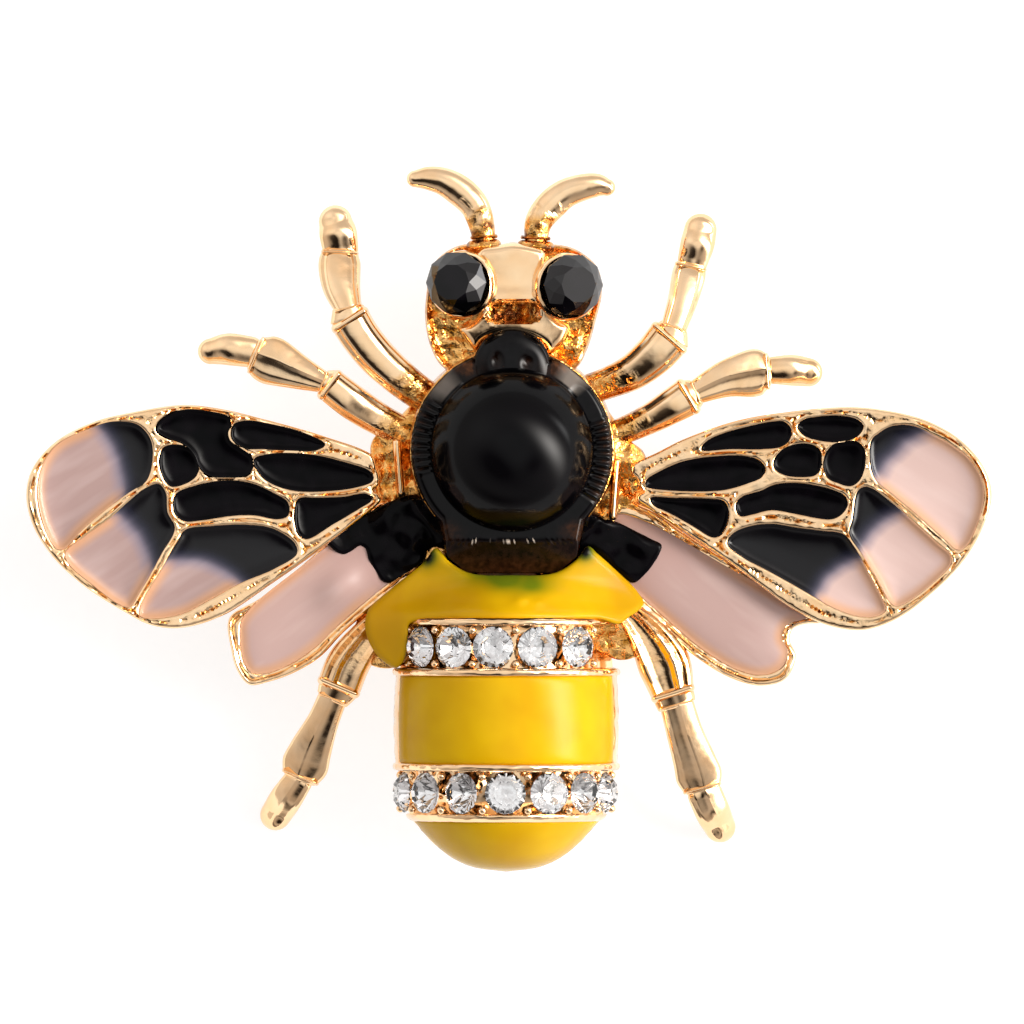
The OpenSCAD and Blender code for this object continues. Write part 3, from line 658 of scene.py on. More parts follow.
for side in ("left", "right"):
    cell = loop(HINDWING_CELLS[side])

    def hindwing_top(points, gap):
        """Rolled rim with a groove inside it, the wall of the cell, and the cell's floor."""
        wire = distance(points, [cell])
        crest = np.minimum(rounded(gap, RIM_ROUND), rounded(wire, WIRE_ROUND))
        groove = np.exp(-((gap - HIND_GROOVE_IN) / HIND_GROOVE_W) ** 2) * np.clip(wire / 0.14, 0, 1)
        cast = 0.06 * rough(points, 0.4, 8.0) + 0.03 * rough(points, 0.2, 9.0)
        top = HINDWING_Z + HINDWING_T - WIRE_H + (WIRE_H + cast) * crest - HIND_GROOVE_D * groove
        floor = inside(points, cell) & (wire > 0.02)
        return np.where(floor, HINDWING_Z + HINDWING_T - CELL_FLOOR, top) + hind_lift(points)

    wing = relief(
        loop(HINDWING_OUTLINES[side]), hindwing_top, lambda p: HINDWING_Z + hind_lift(p), [cell],
        rows=(0.03, 0.08, 0.14, 0.2, 0.27, 0.34), spacing=0.26,
    )
    cast_piece(f"hindwing_{side}_casting", wing)
    middle, streak = HINDWING_FADES[side]
    nude = run_enamel(
        f"nude_enamel_hindwing_{side}", middle, 60, 150, streak, (0.0, "#A68375"), (1.0, "#B49892"), (0.5, "#B1918B"),
    )
    pour(
        f"hindwing_{side}_enamel", cell, HINDWING_Z + HINDWING_T - ENAMEL_DROP, swelled, nude,
        [f"hindwing_enamel_{side}"], dish=-0.2, dish_w=0.5,
    )

    def puddle_top(points, gap):
        """A thick drop with a rolled edge, thickest against the thorax."""
        out = np.hypot(*points.T)
        slump = 0.25 * np.exp(-((out - CUP_R) / 1.6) ** 2) + 1.2 * np.clip((5.75 - out) / 0.8, 0, 1) ** 2
        facets = 0.32 * rough(points, 1.1, 33.0)
        return HINDWING_Z + HINDWING_T + 0.02 + rounded(gap, 0.5) * (0.2 + slump + facets) + hind_lift(points)

    puddle = relief(
        loop(ROOT_PUDDLES[side]), puddle_top, lambda p: HINDWING_Z + 0.7 + hind_lift(p),
        rows=(0.04, 0.1, 0.2, 0.32), spacing=0.24,
    )
    piece(
        f"wing_root_{side}_enamel", puddle, black_enamel, [f"wing_root_enamel_{side}"], sharp=60,
    )


# Thorax, the casting.
# A round cup cast with the body holds the black enamel and the half-ball. Lumpy bridges left by the mould
# join it to the wings, and a thin plate carries the hind legs.

BACK_Z = 3.8
SHOULDER_Z = 4.85
BRIDGE_Z = 5.35
CUP_RIM_Z = 6.42
CUP_FLOOR_Z = 5.7
CUP_FLOOR_R = 4.9
CUP_WALL_T = 1.4
NECK_Y = 4.05
NECK_R = 1.87
SKIRT = [(3.5, -3.57), (3.15, -5.18), (2.17, -5.95), (-2.17, -5.95), (-3.15, -5.18), (-3.5, -3.57)]
# The ends of the smooth upright bar in each bridge, in pixels.
BARS = {"left": ((399, 442), (403, 492)), "right": ((619, 462), (615, 516))}
BRIDGES = {
    "left": [
        (432, 398), (414, 404), (398, 420), (384, 430), (374, 440), (372, 456), (378, 474), (378, 500), (390, 520),
        (412, 530), (440, 520), (440, 440),
    ],
    "right": [
        (590, 398), (606, 406), (620, 424), (632, 440), (646, 452), (650, 470), (646, 500), (634, 524),
        (610, 532), (588, 520), (588, 440),
    ],
}
SHOULDERS = {
    "left": [
        (440, 540), (414, 572), (380, 602), (358, 622), (356, 646), (370, 664), (396, 668), (440, 640), (470, 580),
    ],
    "right": [
        (588, 540), (612, 568), (640, 600), (656, 616), (656, 640), (640, 656), (620, 660), (588, 640), (558, 580),
    ],
}


def cup_edge(angles):
    """Radius of the thorax cup in each direction: a circle with a skirt behind and a round neck in front."""
    ray = np.column_stack([np.cos(angles), np.sin(angles)])
    skirt = np.full(len(angles), 1e9)
    for a, b in zip(np.array(SKIRT), np.array(SKIRT[1:])):
        across = ray[:, 0] * (b - a)[1] - ray[:, 1] * (b - a)[0]
        reach = (a[0] * (b - a)[1] - a[1] * (b - a)[0]) / np.where(across == 0, 1e-9, across)
        skirt = np.where(reach > 0, np.minimum(skirt, reach), skirt)
    skirt = np.where(ray[:, 1] < -0.5, skirt, 0)
    to_neck = ray[:, 1] * NECK_Y
    neck = to_neck + np.sqrt(np.maximum(to_neck ** 2 - NECK_Y ** 2 + NECK_R ** 2, 0))
    neck = np.where((ray[:, 1] > 0) & (to_neck ** 2 > NECK_Y ** 2 - NECK_R ** 2), neck, 0)
    return np.maximum(CUP_R, np.maximum(skirt, neck))


def skin_between(top, under, around):
    """A closed skin between two grids of points of the same size; around joins each row's ends."""
    rows, columns = top.shape[:2]
    points = np.vstack([top.reshape(-1, 3), under.reshape(-1, 3)])
    half = rows * columns
    last = half - columns
    steps = range(columns if around else columns - 1)
    faces = []
    for i in range(rows - 1):
        for k in steps:
            a, b = i * columns + k, i * columns + (k + 1) % columns
            faces.append((a, b, b + columns, a + columns))
            faces.append((a + half, a + columns + half, b + columns + half, b + half))
    for k in steps:
        a, b = k, (k + 1) % columns
        faces.append((a, a + half, b + half, b))
        faces.append((a + last, b + last, b + last + half, a + last + half))
    if not around:
        for i in range(rows - 1):
            for a in (i * columns, (i + 1) * columns - 1):
                faces.append((a, a + columns, a + columns + half, a + half))
    return points, faces


angles = np.radians(np.arange(0, 360, 0.75))
edge = cup_edge(angles)
ray = np.column_stack([np.cos(angles), np.sin(angles)])
wall = []
for out, z in (
    (-0.08, CUP_RIM_Z - 0.1), (-0.04, CUP_RIM_Z), (0.01, CUP_RIM_Z - 0.02), (0.05, CUP_RIM_Z - 0.14), (0.08, 5.9),
    (0.12, 5.4), (0.16, 4.8), (0.18, BACK_Z),
):
    wobble = 0.02 * rough(ray * 5, 0.5, z)
    sunk = 0.9 * np.clip((-3.2 - ray[:, 1] * edge) / 0.6, 0, 1) * (z > 5.5)
    wall.append(np.column_stack([ray * (edge + out + wobble)[:, None], z - sunk + wobble]))
core = [
    np.column_stack([ray * (edge - CUP_WALL_T)[:, None], np.full(len(angles), z)])
    for z in np.linspace(CUP_FLOOR_Z, BACK_Z, len(wall))
]
cast_piece("thorax_cup", skin_between(np.array(wall), np.array(core), True), as_cast_gold)


def level_at(z):
    """A flat top or back for a relief, at one height."""
    return lambda points, gap=None: np.full(len(points), z)


flat_back = level_at(BACK_Z)
disc = np.array([
    (math.cos(a) * CUP_FLOOR_R, math.sin(a) * CUP_FLOOR_R) for a in np.radians(np.arange(0, 360, 4))
])
plate = relief(disc, level_at(CUP_FLOOR_Z), flat_back, spacing=1.0)
cast_piece("thorax_floor", plate)


def bridge_top(points, gap):
    """Lumps left by the mould, falling away from the thorax."""
    lumps = 0.4 * rough(points, 0.9, 3.0) + 0.14 * rough(points, 0.4, 4.0)
    fall = 0.5 * np.clip((np.hypot(points[:, 0], points[:, 1]) - 5) / 2, 0, 1)
    return BRIDGE_Z - fall + lumps + 0.35 * (rounded(gap, 0.4) - 1)


def shoulder_top(points, gap):
    """A plate with a soft edge, wavy as cast."""
    return SHOULDER_Z - 0.1 + 0.1 * rounded(gap, 0.2) + 0.12 * rough(points, 0.5, 31.0)


for side in ("left", "right"):
    lumpy = relief(loop(BRIDGES[side]), bridge_top, flat_back, rows=(0.05, 0.14), spacing=0.13)
    cast_piece(f"wing_bridge_{side}", lumpy, as_cast_gold)
    plate = relief(loop(SHOULDERS[side]), shoulder_top, flat_back, spacing=0.16)
    cast_piece(f"shoulder_{side}", plate, as_cast_gold)


# Thorax, the enamel.
# Black epoxy fills the cup around the half-ball. It is combed into short radial ribs at both sides, like fur,
# stands in two smooth flats in front, domes over the neck, and thins to a smoky brown slope behind.

ENAMEL_TOP_Z = 6.72
ENAMEL_IN_R = 3.5
OVER_RIM = 0.03
RIBS = 74
RIB_H = 0.1
SLOPE_Y = -4.44
FLAT_ANGLES = (50, 137)
# Two pits on the neck where the epoxy drew back from the metal: their middles, widths and lengths.
NECK_PITS = [(-0.75, 4.35, 0.24, 0.34), (0.75, 4.25, 0.28, 0.32)]
NECK_PIT_D = 0.2

# The same black epoxy, which shows the metal through it as brown where it is thin.
smoky_enamel, tree, place = new_material("smoky_black_epoxy_enamel")
thin = stored(tree, "thin")
cloud = clouds(tree, place, 0.3, 2.0)
smoke = ramp(tree, thin, (0.0, "#060507"), (1.0, "#4A2A12"), (0.5, "#1E100A"))
patchy = ramp(tree, cloud, (0.35, "#9A9A9A"), (0.65, "#FFFFFF"))
colour = blend(tree, 1.0, smoke, patchy, blend_type="MULTIPLY")
# Painted highlights: pale glints along the slope's edge and a pale painted reflection on the flats are mixed in by the
# stored share.
painted_highlight = stored(tree, "painted_highlight")
colour = blend(tree, painted_highlight, colour, to_linear("#EADACB"))
finish_material(tree, Base_Color=colour, Roughness=0.1, IOR=1.5, Specular_IOR_Level=0.16)

shares = np.concatenate([np.linspace(0, 0.84, 16), [0.88, 0.92, 0.95, 0.975, 0.99, 1.0]])
turn = np.degrees(angles)
flats = sum(np.clip(1.35 - np.abs(turn - middle) / 8.5, 0, 1) for middle in FLAT_ANGLES)
signed = (turn + 180) % 360 - 180
combed = np.clip((28 - np.abs(signed + 7)) / 4, 0, 1) + 0.8 * np.clip((26 - np.abs(turn - 172)) / 6, 0, 1)
combed = np.clip(combed, 0, 1) * (1 - np.clip(flats, 0, 1))
comb = np.cos(RIBS * angles + 1.5 * rough(ray * 5, 1.2, 7.0)) * (0.7 + 0.5 * rough(ray * 5, 0.3, 6.0))
sides = np.clip((np.abs(ray[:, 0]) - 0.45) / 0.15, 0, 1)
top, thin = [], []
for share in shares:
    r = ENAMEL_IN_R + (edge + OVER_RIM - ENAMEL_IN_R) * share
    x, y = (ray * r[:, None]).T
    z = ENAMEL_TOP_Z - 0.55 * (1 - rounded(edge + OVER_RIM - r, 0.45))
    z += RIB_H * combed * comb * np.clip((r - 3.95) / 0.15, 0, 1) * np.clip((edge - r) / 0.12, 0.3, 1)
    z += flats * (0.25 - 0.5 * (r - 4))
    brown = combed * np.clip(0.35 - comb, 0, 1) * np.clip((r - 4.2) / 0.3, 0, 1) * 0.8
    brown = np.maximum(brown, 1.2 * np.exp(-((np.abs(x) - 2.2) / 0.75) ** 2 - ((y - 4.0) / 0.45) ** 2))
    brown = np.maximum(brown, sides * 0.7 * np.clip((-y - 3.2) / 0.5, 0, 1) * np.clip((r - 4.3) / 0.3, 0, 1))
    neck = 1 - (x ** 2 + (y - NECK_Y) ** 2) / (NECK_R + 0.04) ** 2
    neck_top = CUP_RIM_Z + 0.72 * np.sqrt(np.maximum(neck, 0))
    pits = sum(np.exp(-((x - px) / wide) ** 2 - ((y - py) / high) ** 2) for px, py, wide, high in NECK_PITS)
    neck_top -= NECK_PIT_D * pits
    over = (neck > 0) & (y > 3.5)
    z -= 1.3 * np.clip((y - 4.2) / 0.5, 0, 1) * over
    brown = np.where(over, np.maximum(brown * 0.6, 0.55 * pits), brown)
    z = np.where(over, np.maximum(z, neck_top), z)
    z = np.where(y < SLOPE_Y, np.minimum(z, 6.66 - 0.5 * (SLOPE_Y - y)), z)
    brown = np.where(y < SLOPE_Y, np.clip(0.25 + 0.4 * (SLOPE_Y - y), 0, 0.72), brown)
    z = np.where(r < 3.62, 6.0, z)
    top.append(np.column_stack([x, y, z]))
    thin.append(brown)
top = np.array(top)
under = top.copy()
under[:, :, 2] = np.minimum(5.75, top[:, :, 2] - 0.1)
obj = piece(
    "thorax_enamel_collar", skin_between(top, under, True), smoky_enamel, ["thorax_enamel"], sharp=55,
)
store(obj, "thin", np.tile(np.concatenate(thin), 2))
# Painted highlights: pale glints drawn along the edge of the slope, and a pale painted reflection on the two flats.
line = np.abs(top[:, :, 1] - SLOPE_Y).ravel() < 0.06
painted_glint = line * np.clip(4 * rough(top.reshape(-1, 3), 0.1, 36.0) - 1.2, 0, 0.8) * (np.abs(top[:, :, 0]).ravel() < 2.4)
painted_sheen = 0.17 * np.tile(np.clip(flats, 0, 1), (len(shares), 1)) * (np.hypot(top[:, :, 0], top[:, :, 1]) > 4.1)
store(obj, "painted_highlight", np.tile(np.maximum(painted_glint, painted_sheen.ravel()), 2))


# Half-ball.
# A little more than half a ball of black resin, cast, polished and ground flat at its foot, which is glued into
# the cup.

BALL_R = 4.0
BALL_Z = 7.6
BALL_FOOT = 1.8


def turned(profile, around):
    """A turned shape from (radius, height) points, from the top down, closed at both ends."""
    circle = [2 * math.pi * k / around for k in range(around)]
    points = [(r * math.cos(a), r * math.sin(a), z) for r, z in profile for a in circle]
    faces = []
    for i in range(len(profile) - 1):
        for k in range(around):
            a, b = i * around + k, i * around + (k + 1) % around
            faces.append((a, a + around, b + around, b))
    faces.append(tuple(range(around)))
    faces.append(tuple(len(points) - 1 - k for k in range(around)))
    return points, faces


# Black resin. Towards its foot its reflection is turned down by height, a painted shade that keeps the lower part
# dark, so that only the crown mirrors the room.
black_resin, tree, place = new_material("polished_black_resin")
swell = clouds(tree, place, 3, 1.0)
haze = ramp(tree, swell, (0.35, "#010102"), (0.65, "#070608"))
bump = bumped(tree, swell, 0.2, 0.05)
height = add(tree, "ShaderNodeSeparateXYZ", {0: place}).outputs["Z"]
gloss = scaled(tree, height, 8.9, 10.7, 0.004, 0.11)
finish_material(tree, Base_Color=haze, Roughness=0.14, IOR=1.5, Specular_IOR_Level=gloss, Normal=bump)

profile = [
    (BALL_R * math.sin(a), BALL_Z + BALL_R * math.cos(a))
    for a in np.radians(np.linspace(0.5, 90 + math.degrees(math.asin(BALL_FOOT / BALL_R)), 70))
]
piece("thorax_half_ball", turned(profile, 144), black_resin, ["thorax_ball"])


# Head.
# Cast with the body: a polished dome between the eyes, a smooth collar behind the neck, and hollow cheeks
# left as cast. Each eye sits in a thin cup.

HEAD_OUTLINE = [
    (446, 368), (433, 348), (427, 320), (428, 296), (434, 266), (450, 250), (472, 243), (492, 246), (514, 242),
    (538, 245), (558, 244), (580, 250), (600, 268), (604, 292), (598, 320), (589, 350), (578, 368), (545, 376),
    (484, 376),
]
CHEEK_Z = 5.4
FACE_Z = 6.72
FACE_BACK_Z = 5.0
# Each eye's middle in pixels, and how many degrees it leans outwards.
EYES = {"left": ((458.5, 283), -16), "right": ((575, 285.5), 19)}
EYE_R = 1.5
EYE_Z = 7.7
CUP_WALL = 0.2
# The polished part of the head: the forehead, with a strip down each side of a pit to the saddle over the neck.
FACE = [
    (478, 256), (482, 248), (498, 245), (514, 243), (532, 245), (547, 250), (549, 262), (547, 274), (546, 288),
    (548, 300), (553, 310), (561, 319), (572, 327), (568, 340), (560, 349), (552, 354), (546, 345), (534, 338),
    (516, 334), (498, 335), (485, 341), (477, 350), (470, 343), (464, 335), (460, 329), (470, 324), (479, 317),
    (484, 308), (487, 298), (488, 286), (486, 274), (482, 264),
]
# The pit above the saddle: its middle in pixels, half its width and half its height.
PIT_X, PIT_Y = spot((515, 312))
PIT_WIDE, PIT_HIGH = 25 * PIXEL_MM, 10.5 * PIXEL_MM


def cheek_top(points, gap):
    """Hollow cheeks left as cast, with a sharp edge."""
    lumps = 0.26 * rough(points, 0.9, 11.0) + 0.09 * rough(points, 0.3, 12.0)
    return CHEEK_Z + lumps + 0.3 * np.exp(-((gap - 0.12) / 0.12) ** 2) + 0.35 * (rounded(gap, 0.3) - 1)


def face_top(points, gap):
    """Nearly flat, rolled over at its edges, with a rough pit above the saddle."""
    x, y = points.T
    away = (np.abs((x - PIT_X) / PIT_WIDE) ** 4 + np.abs((y - PIT_Y) / PIT_HIGH) ** 4) ** 0.25
    pit = 0.65 * np.clip((1.15 - away) / 0.35, 0, 1) * (1 + 0.5 * rough(points, 0.25, 13.0))
    brow = 0.2 * np.exp(-((y - 7.35) / 0.6) ** 2)
    swell = FACE_Z - 0.05 * x ** 2 - 0.018 * (y - 8.7) ** 2 + brow * (y > 6.3)
    return swell - pit + 0.55 * (rounded(gap, 0.42) - 1)


head = relief(loop(HEAD_OUTLINE), cheek_top, flat_back, rows=(0.04, 0.1, 0.2), spacing=0.12)
cast_piece("head_casting", head, as_cast_gold)
face = relief(loop(FACE), face_top, level_at(FACE_BACK_Z), rows=(0.03, 0.08, 0.15, 0.24, 0.34), spacing=0.11)
obj = cast_piece("face_casting", face)
# The pit is left as cast, and painted shade darkens it brown.
leave_cast(obj, lambda p: 1.12 - np.maximum(
    np.abs((p[:, 0] - PIT_X) / PIT_WIDE), np.abs((p[:, 1] - PIT_Y) / PIT_HIGH),
) ** 6, 1.3)


def stand(points, at, lean):
    """Points leaned sideways by an angle and moved to their place."""
    x, y, z = np.array(points).T
    c, s = math.cos(lean), math.sin(lean)
    return np.column_stack([at[0] + c * x + s * z, at[1] + y, at[2] - s * x + c * z])


for side, (pixel, lean) in EYES.items():
    rim = EYE_R - 0.04
    bezel = [
        (rim - 0.15, -1.2), (rim - 0.05, -0.5), (rim, -0.34), (rim + 0.07, -0.28), (rim + 0.15, -0.36),
        (rim + CUP_WALL, -0.6), (rim + CUP_WALL - 0.06, -1.0), (rim - 0.3, -1.7), (rim - 0.6, -2.4),
    ]
    points, faces = turned(bezel, 72)
    x, y = spot(pixel)
    inwards = 0.1 if x < 0 else -0.1
    points = stand(points, (x + inwards, y - 0.09, EYE_Z), math.radians(lean))
    points[:, :2] += 0.03 * rough(points * 3, 0.8, 14.0)[:, None]
    cast_piece(f"eye_cup_{side}", (points, faces))


# Eyes.
# Black glass chatons, ten-sided, pressed in a mould and flame polished. They are glued into their cups and lean
# outwards with them.

EYE_SIDES = 10
EYE_CROWN = 0.84
EYE_DEPTH = 1.5
EYE_TABLE = 0.58


def chaton(sides, radius, crown, depth, table, corners=False):
    """A pointed glass stone: table, star and kite facets, a thin girdle and a plain back.

    Its outline is round, or has as many corners as it has sides. Also gives the number of its first back facet.
    """
    inwards = math.cos(math.pi / sides) if corners else 1.0
    girdle = 0.035 * radius
    points = []
    for r, z, count, turn in (
        (table * radius, crown, sides, 0), ((0.45 + 0.57 * table) * radius, crown * 0.52, sides, 0.5),
        (radius, girdle, 2 * sides, 0), (radius, -girdle, 2 * sides, 0),
    ):
        for k in range(count):
            angle = 2 * math.pi * (k + turn) / count
            reach = r * inwards if count > sides and k % 2 else r
            points.append((reach * math.cos(angle), reach * math.sin(angle), z))
    points.append((0, 0, -depth))
    middle, edge, back = sides, 2 * sides, 4 * sides
    faces = [tuple(range(sides))]
    for k in range(sides):
        right, next_right = edge + 2 * k + 1, edge + (2 * k + 2) % (2 * sides)
        faces.append((k, middle + k, (k + 1) % sides))
        faces.append((k, middle + (k - 1) % sides, edge + 2 * k, middle + k))
        faces += [(middle + k, edge + 2 * k, right), (middle + k, right, next_right)]
    faces += [
        (edge + k, back + k, back + (k + 1) % (2 * sides), edge + (k + 1) % (2 * sides)) for k in range(2 * sides)
    ]
    first = len(faces)
    faces += [(back + k, len(points) - 1, back + (k + 1) % (2 * sides)) for k in range(2 * sides)]
    return points, faces, first


# Pressed black glass: nearly mirror smooth, so each facet shows another part of the room in grey.
black_glass, tree, place = new_material("pressed_black_glass")
cloud = clouds(tree, place, 1.2, 1.0)
tone = ramp(tree, cloud, (0.35, "#030304"), (0.65, "#0C0A0E"))
finish_material(tree, Base_Color=tone, Roughness=0.05, IOR=1.55, Specular_IOR_Level=0.45)

for side, (pixel, lean) in EYES.items():
    points, faces, first = chaton(EYE_SIDES, EYE_R * 1.02, EYE_CROWN, EYE_DEPTH, EYE_TABLE, corners=True)
    points = stand(points, (*spot(pixel), EYE_Z), math.radians(lean))
    piece(f"eye_{side}_chaton", (points, faces), black_glass, [f"eye_{side}"], sharp=1)


# Antennae.
# Cast with the head in relief and polished, all but their roots. Each swells above a ring, bends outwards and ends
# in a blunt tip.

# Each station is a pixel, the middle's height, half the width and half the thickness.
ANTENNAE = {
    "left": [
        ((486, 266), 5.4, 0.5, 0.5), ((486, 240), 5.4, 0.56, 0.5), ((482, 219), 5.4, 0.66, 0.54),
        ((475.5, 204), 5.35, 0.72, 0.56), ((461, 190), 5.3, 0.76, 0.56), ((445, 181), 5.3, 0.68, 0.52),
        ((430, 178), 5.25, 0.58, 0.46), ((417, 178.5), 5.2, 0.42, 0.4),
    ],
    "right": [
        ((538, 266), 5.4, 0.5, 0.5), ((538, 241), 5.4, 0.56, 0.5), ((541, 221), 5.4, 0.68, 0.54),
        ((553, 205), 5.35, 0.76, 0.56), ((567, 193.5), 5.3, 0.72, 0.56), ((587, 186.5), 5.3, 0.65, 0.52),
        ((601, 185), 5.25, 0.56, 0.46), ((609, 187), 5.2, 0.42, 0.4),
    ],
}
# Cross-sections as shares of half the width and half the thickness.
SOFT_BAR = [
    (-1, -0.1), (-0.95, 0.3), (-0.76, 0.62), (-0.42, 0.88), (0, 1), (0.42, 0.88), (0.76, 0.62), (0.95, 0.3),
    (1, -0.1), (0.8, -0.8), (-0.8, -0.8),
]
RINGS = {"left": ((474, 246.5), (498, 245)), "right": ((524, 246), (551, 247.5))}
# Height, half width and half thickness of a ring, of the thin ring above it and of a bar in the bridges.
RING = (5.75, 0.3, 0.6)
THIN_RING = (5.5, 0.1, 0.5)
BRIDGE_BAR = (5.55, 0.24, 0.55)
# The thin ring is this many pixels above the other one.
THIN_RING_UP = 9
# The roots were left as cast up to here.
ROOT_END_Y = 11.75


def lofted(stations, section, cap=1.0, step=0.14):
    """A bar through (x, y, z, half width, half thickness) stations, its ends rounded out by cap half widths."""
    rows = curve(stations, step, closed=False)
    along = np.gradient(rows[:, :2], axis=0)
    along /= np.maximum(np.linalg.norm(along, axis=1, keepdims=True), 1e-9)

    def bulge(row, heading):
        return [
            np.concatenate([row[:2] + heading * cap * row[3] * math.sin(a), row[2:3], row[3:] * math.cos(a)])
            for a in np.radians((14, 28, 42, 56, 70, 82))
        ]

    rows = np.array(bulge(rows[0], -along[0])[::-1] + list(rows) + bulge(rows[-1], along[-1]))
    along = np.vstack([along[:1]] * 6 + [along] + [along[-1:]] * 6)
    profile = curve(section, 0.1)
    count = len(profile)
    points = [
        (x - heading[1] * w * a, y + heading[0] * w * a, z + h * b)
        for (x, y, z, w, h), heading in zip(rows, along) for a, b in profile
    ]
    faces = [
        (i * count + k, i * count + (k + 1) % count, (i + 1) * count + (k + 1) % count, (i + 1) * count + k)
        for i in range(len(rows) - 1) for k in range(count)
    ]
    faces.append(tuple(range(count))[::-1])
    faces.append(tuple(len(points) - count + k for k in range(count)))
    return points, faces


def joined(*parts):
    """Several shapes as one."""
    points, faces = [], []
    for more, shape in parts:
        faces += [tuple(i + len(points) for i in face) for face in shape]
        points += [tuple(p) for p in more]
    return points, faces


def ring_at(ends, z, thick, high):
    """A short bar between two pixels, laid across a limb or upright in a bridge."""
    (ax, ay), (bx, by) = (spot(end) for end in ends)
    middle = ((ax + bx) / 2, (ay + by) / 2)
    return lofted(
        [(ax, ay, z, thick, high), (*middle, z, thick, high * 1.12), (bx, by, z, thick, high)], SOFT_BAR, 0.9, 0.1,
    )


def at_pixels(stations):
    """Stations with their pixels turned into places."""
    return [(*spot(pixel), *rest) for pixel, *rest in stations]


for side, stations in ANTENNAE.items():
    shape = joined(
        lofted(at_pixels(stations), SOFT_BAR), ring_at(RINGS[side], *RING),
        ring_at([(x, y - THIN_RING_UP) for x, y in RINGS[side]], *THIN_RING),
    )
    obj = cast_piece(f"antenna_{side}", shape)
    leave_cast(obj, lambda p: (ROOT_END_Y - p[:, 1] + 1.1 * rough(p, 0.5, 35.0)) / 0.8, 0.5)

# The bars in the thorax's bridges are made in the same way.
for side, ends in BARS.items():
    cast_piece(f"bridge_bar_{side}", ring_at(ends, *BRIDGE_BAR))


# Legs.
# Cast with the body in relief: a thigh that ends in a rolled cuff, a short knee, a shin that widens to another
# cuff, and a rounded foot. The hind feet reach down to the table.

# How thick each cuff is, and how far it stands over the limb.
THIGH_CUFF = (0.26, 0.09)
SHIN_TOP_CUFF = (0.1, 0.05)
SHIN_CUFF = (0.12, 0.08)
# How far the ends of the parts are rounded out, in half widths.
CAPS = {"thigh": 0.3, "shin": 0.3, "foot": 1.0}
KNEE_CAP = 0.22
# The limbs were left as cast this far from the half-ball's middle, and the hind thighs this far back.
CAST_R = 6.9
HIND_CAST_Y = -11.3
# A thigh's face is framed by a raised edge on one side and a bevel on the other.
FRAMED = [
    (-1, -0.3), (-1, 0.3), (-0.93, 0.72), (-0.82, 0.97), (-0.7, 0.97), (-0.62, 0.8), (-0.55, 0.74), (-0.4, 0.84),
    (0, 0.93), (0.42, 0.88), (0.62, 0.78), (0.7, 0.6), (0.76, 0.5), (0.88, 0.42), (0.97, 0.15), (1, -0.2),
    (0.8, -0.9), (-0.8, -0.9),
]
# A shin has two faces that meet at a ridge, with a hollow beside it, and a narrow bevel.
FACETED = [
    (-1, -0.3), (-0.99, 0.15), (-0.9, 0.42), (-0.55, 0.74), (-0.2, 0.96), (-0.13, 1), (-0.06, 0.95), (0.06, 0.86),
    (0.2, 0.79), (0.4, 0.76), (0.62, 0.74), (0.7, 0.64), (0.78, 0.58), (0.92, 0.4), (1, 0), (0.95, -0.6),
    (0.7, -0.95), (-0.7, -0.95),
]
# A hind thigh has two flutes and a wider hollow.
FLUTED = [
    (-1, -0.3), (-0.98, 0.3), (-0.87, 0.78), (-0.76, 0.86), (-0.64, 0.66), (-0.5, 0.86), (-0.4, 0.95), (-0.28, 0.84),
    (-0.12, 0.62), (0.1, 0.52), (0.34, 0.54), (0.56, 0.7), (0.7, 0.82), (0.8, 0.74), (0.92, 0.4), (1, -0.3),
    (0.8, -0.9), (-0.8, -0.9),
]
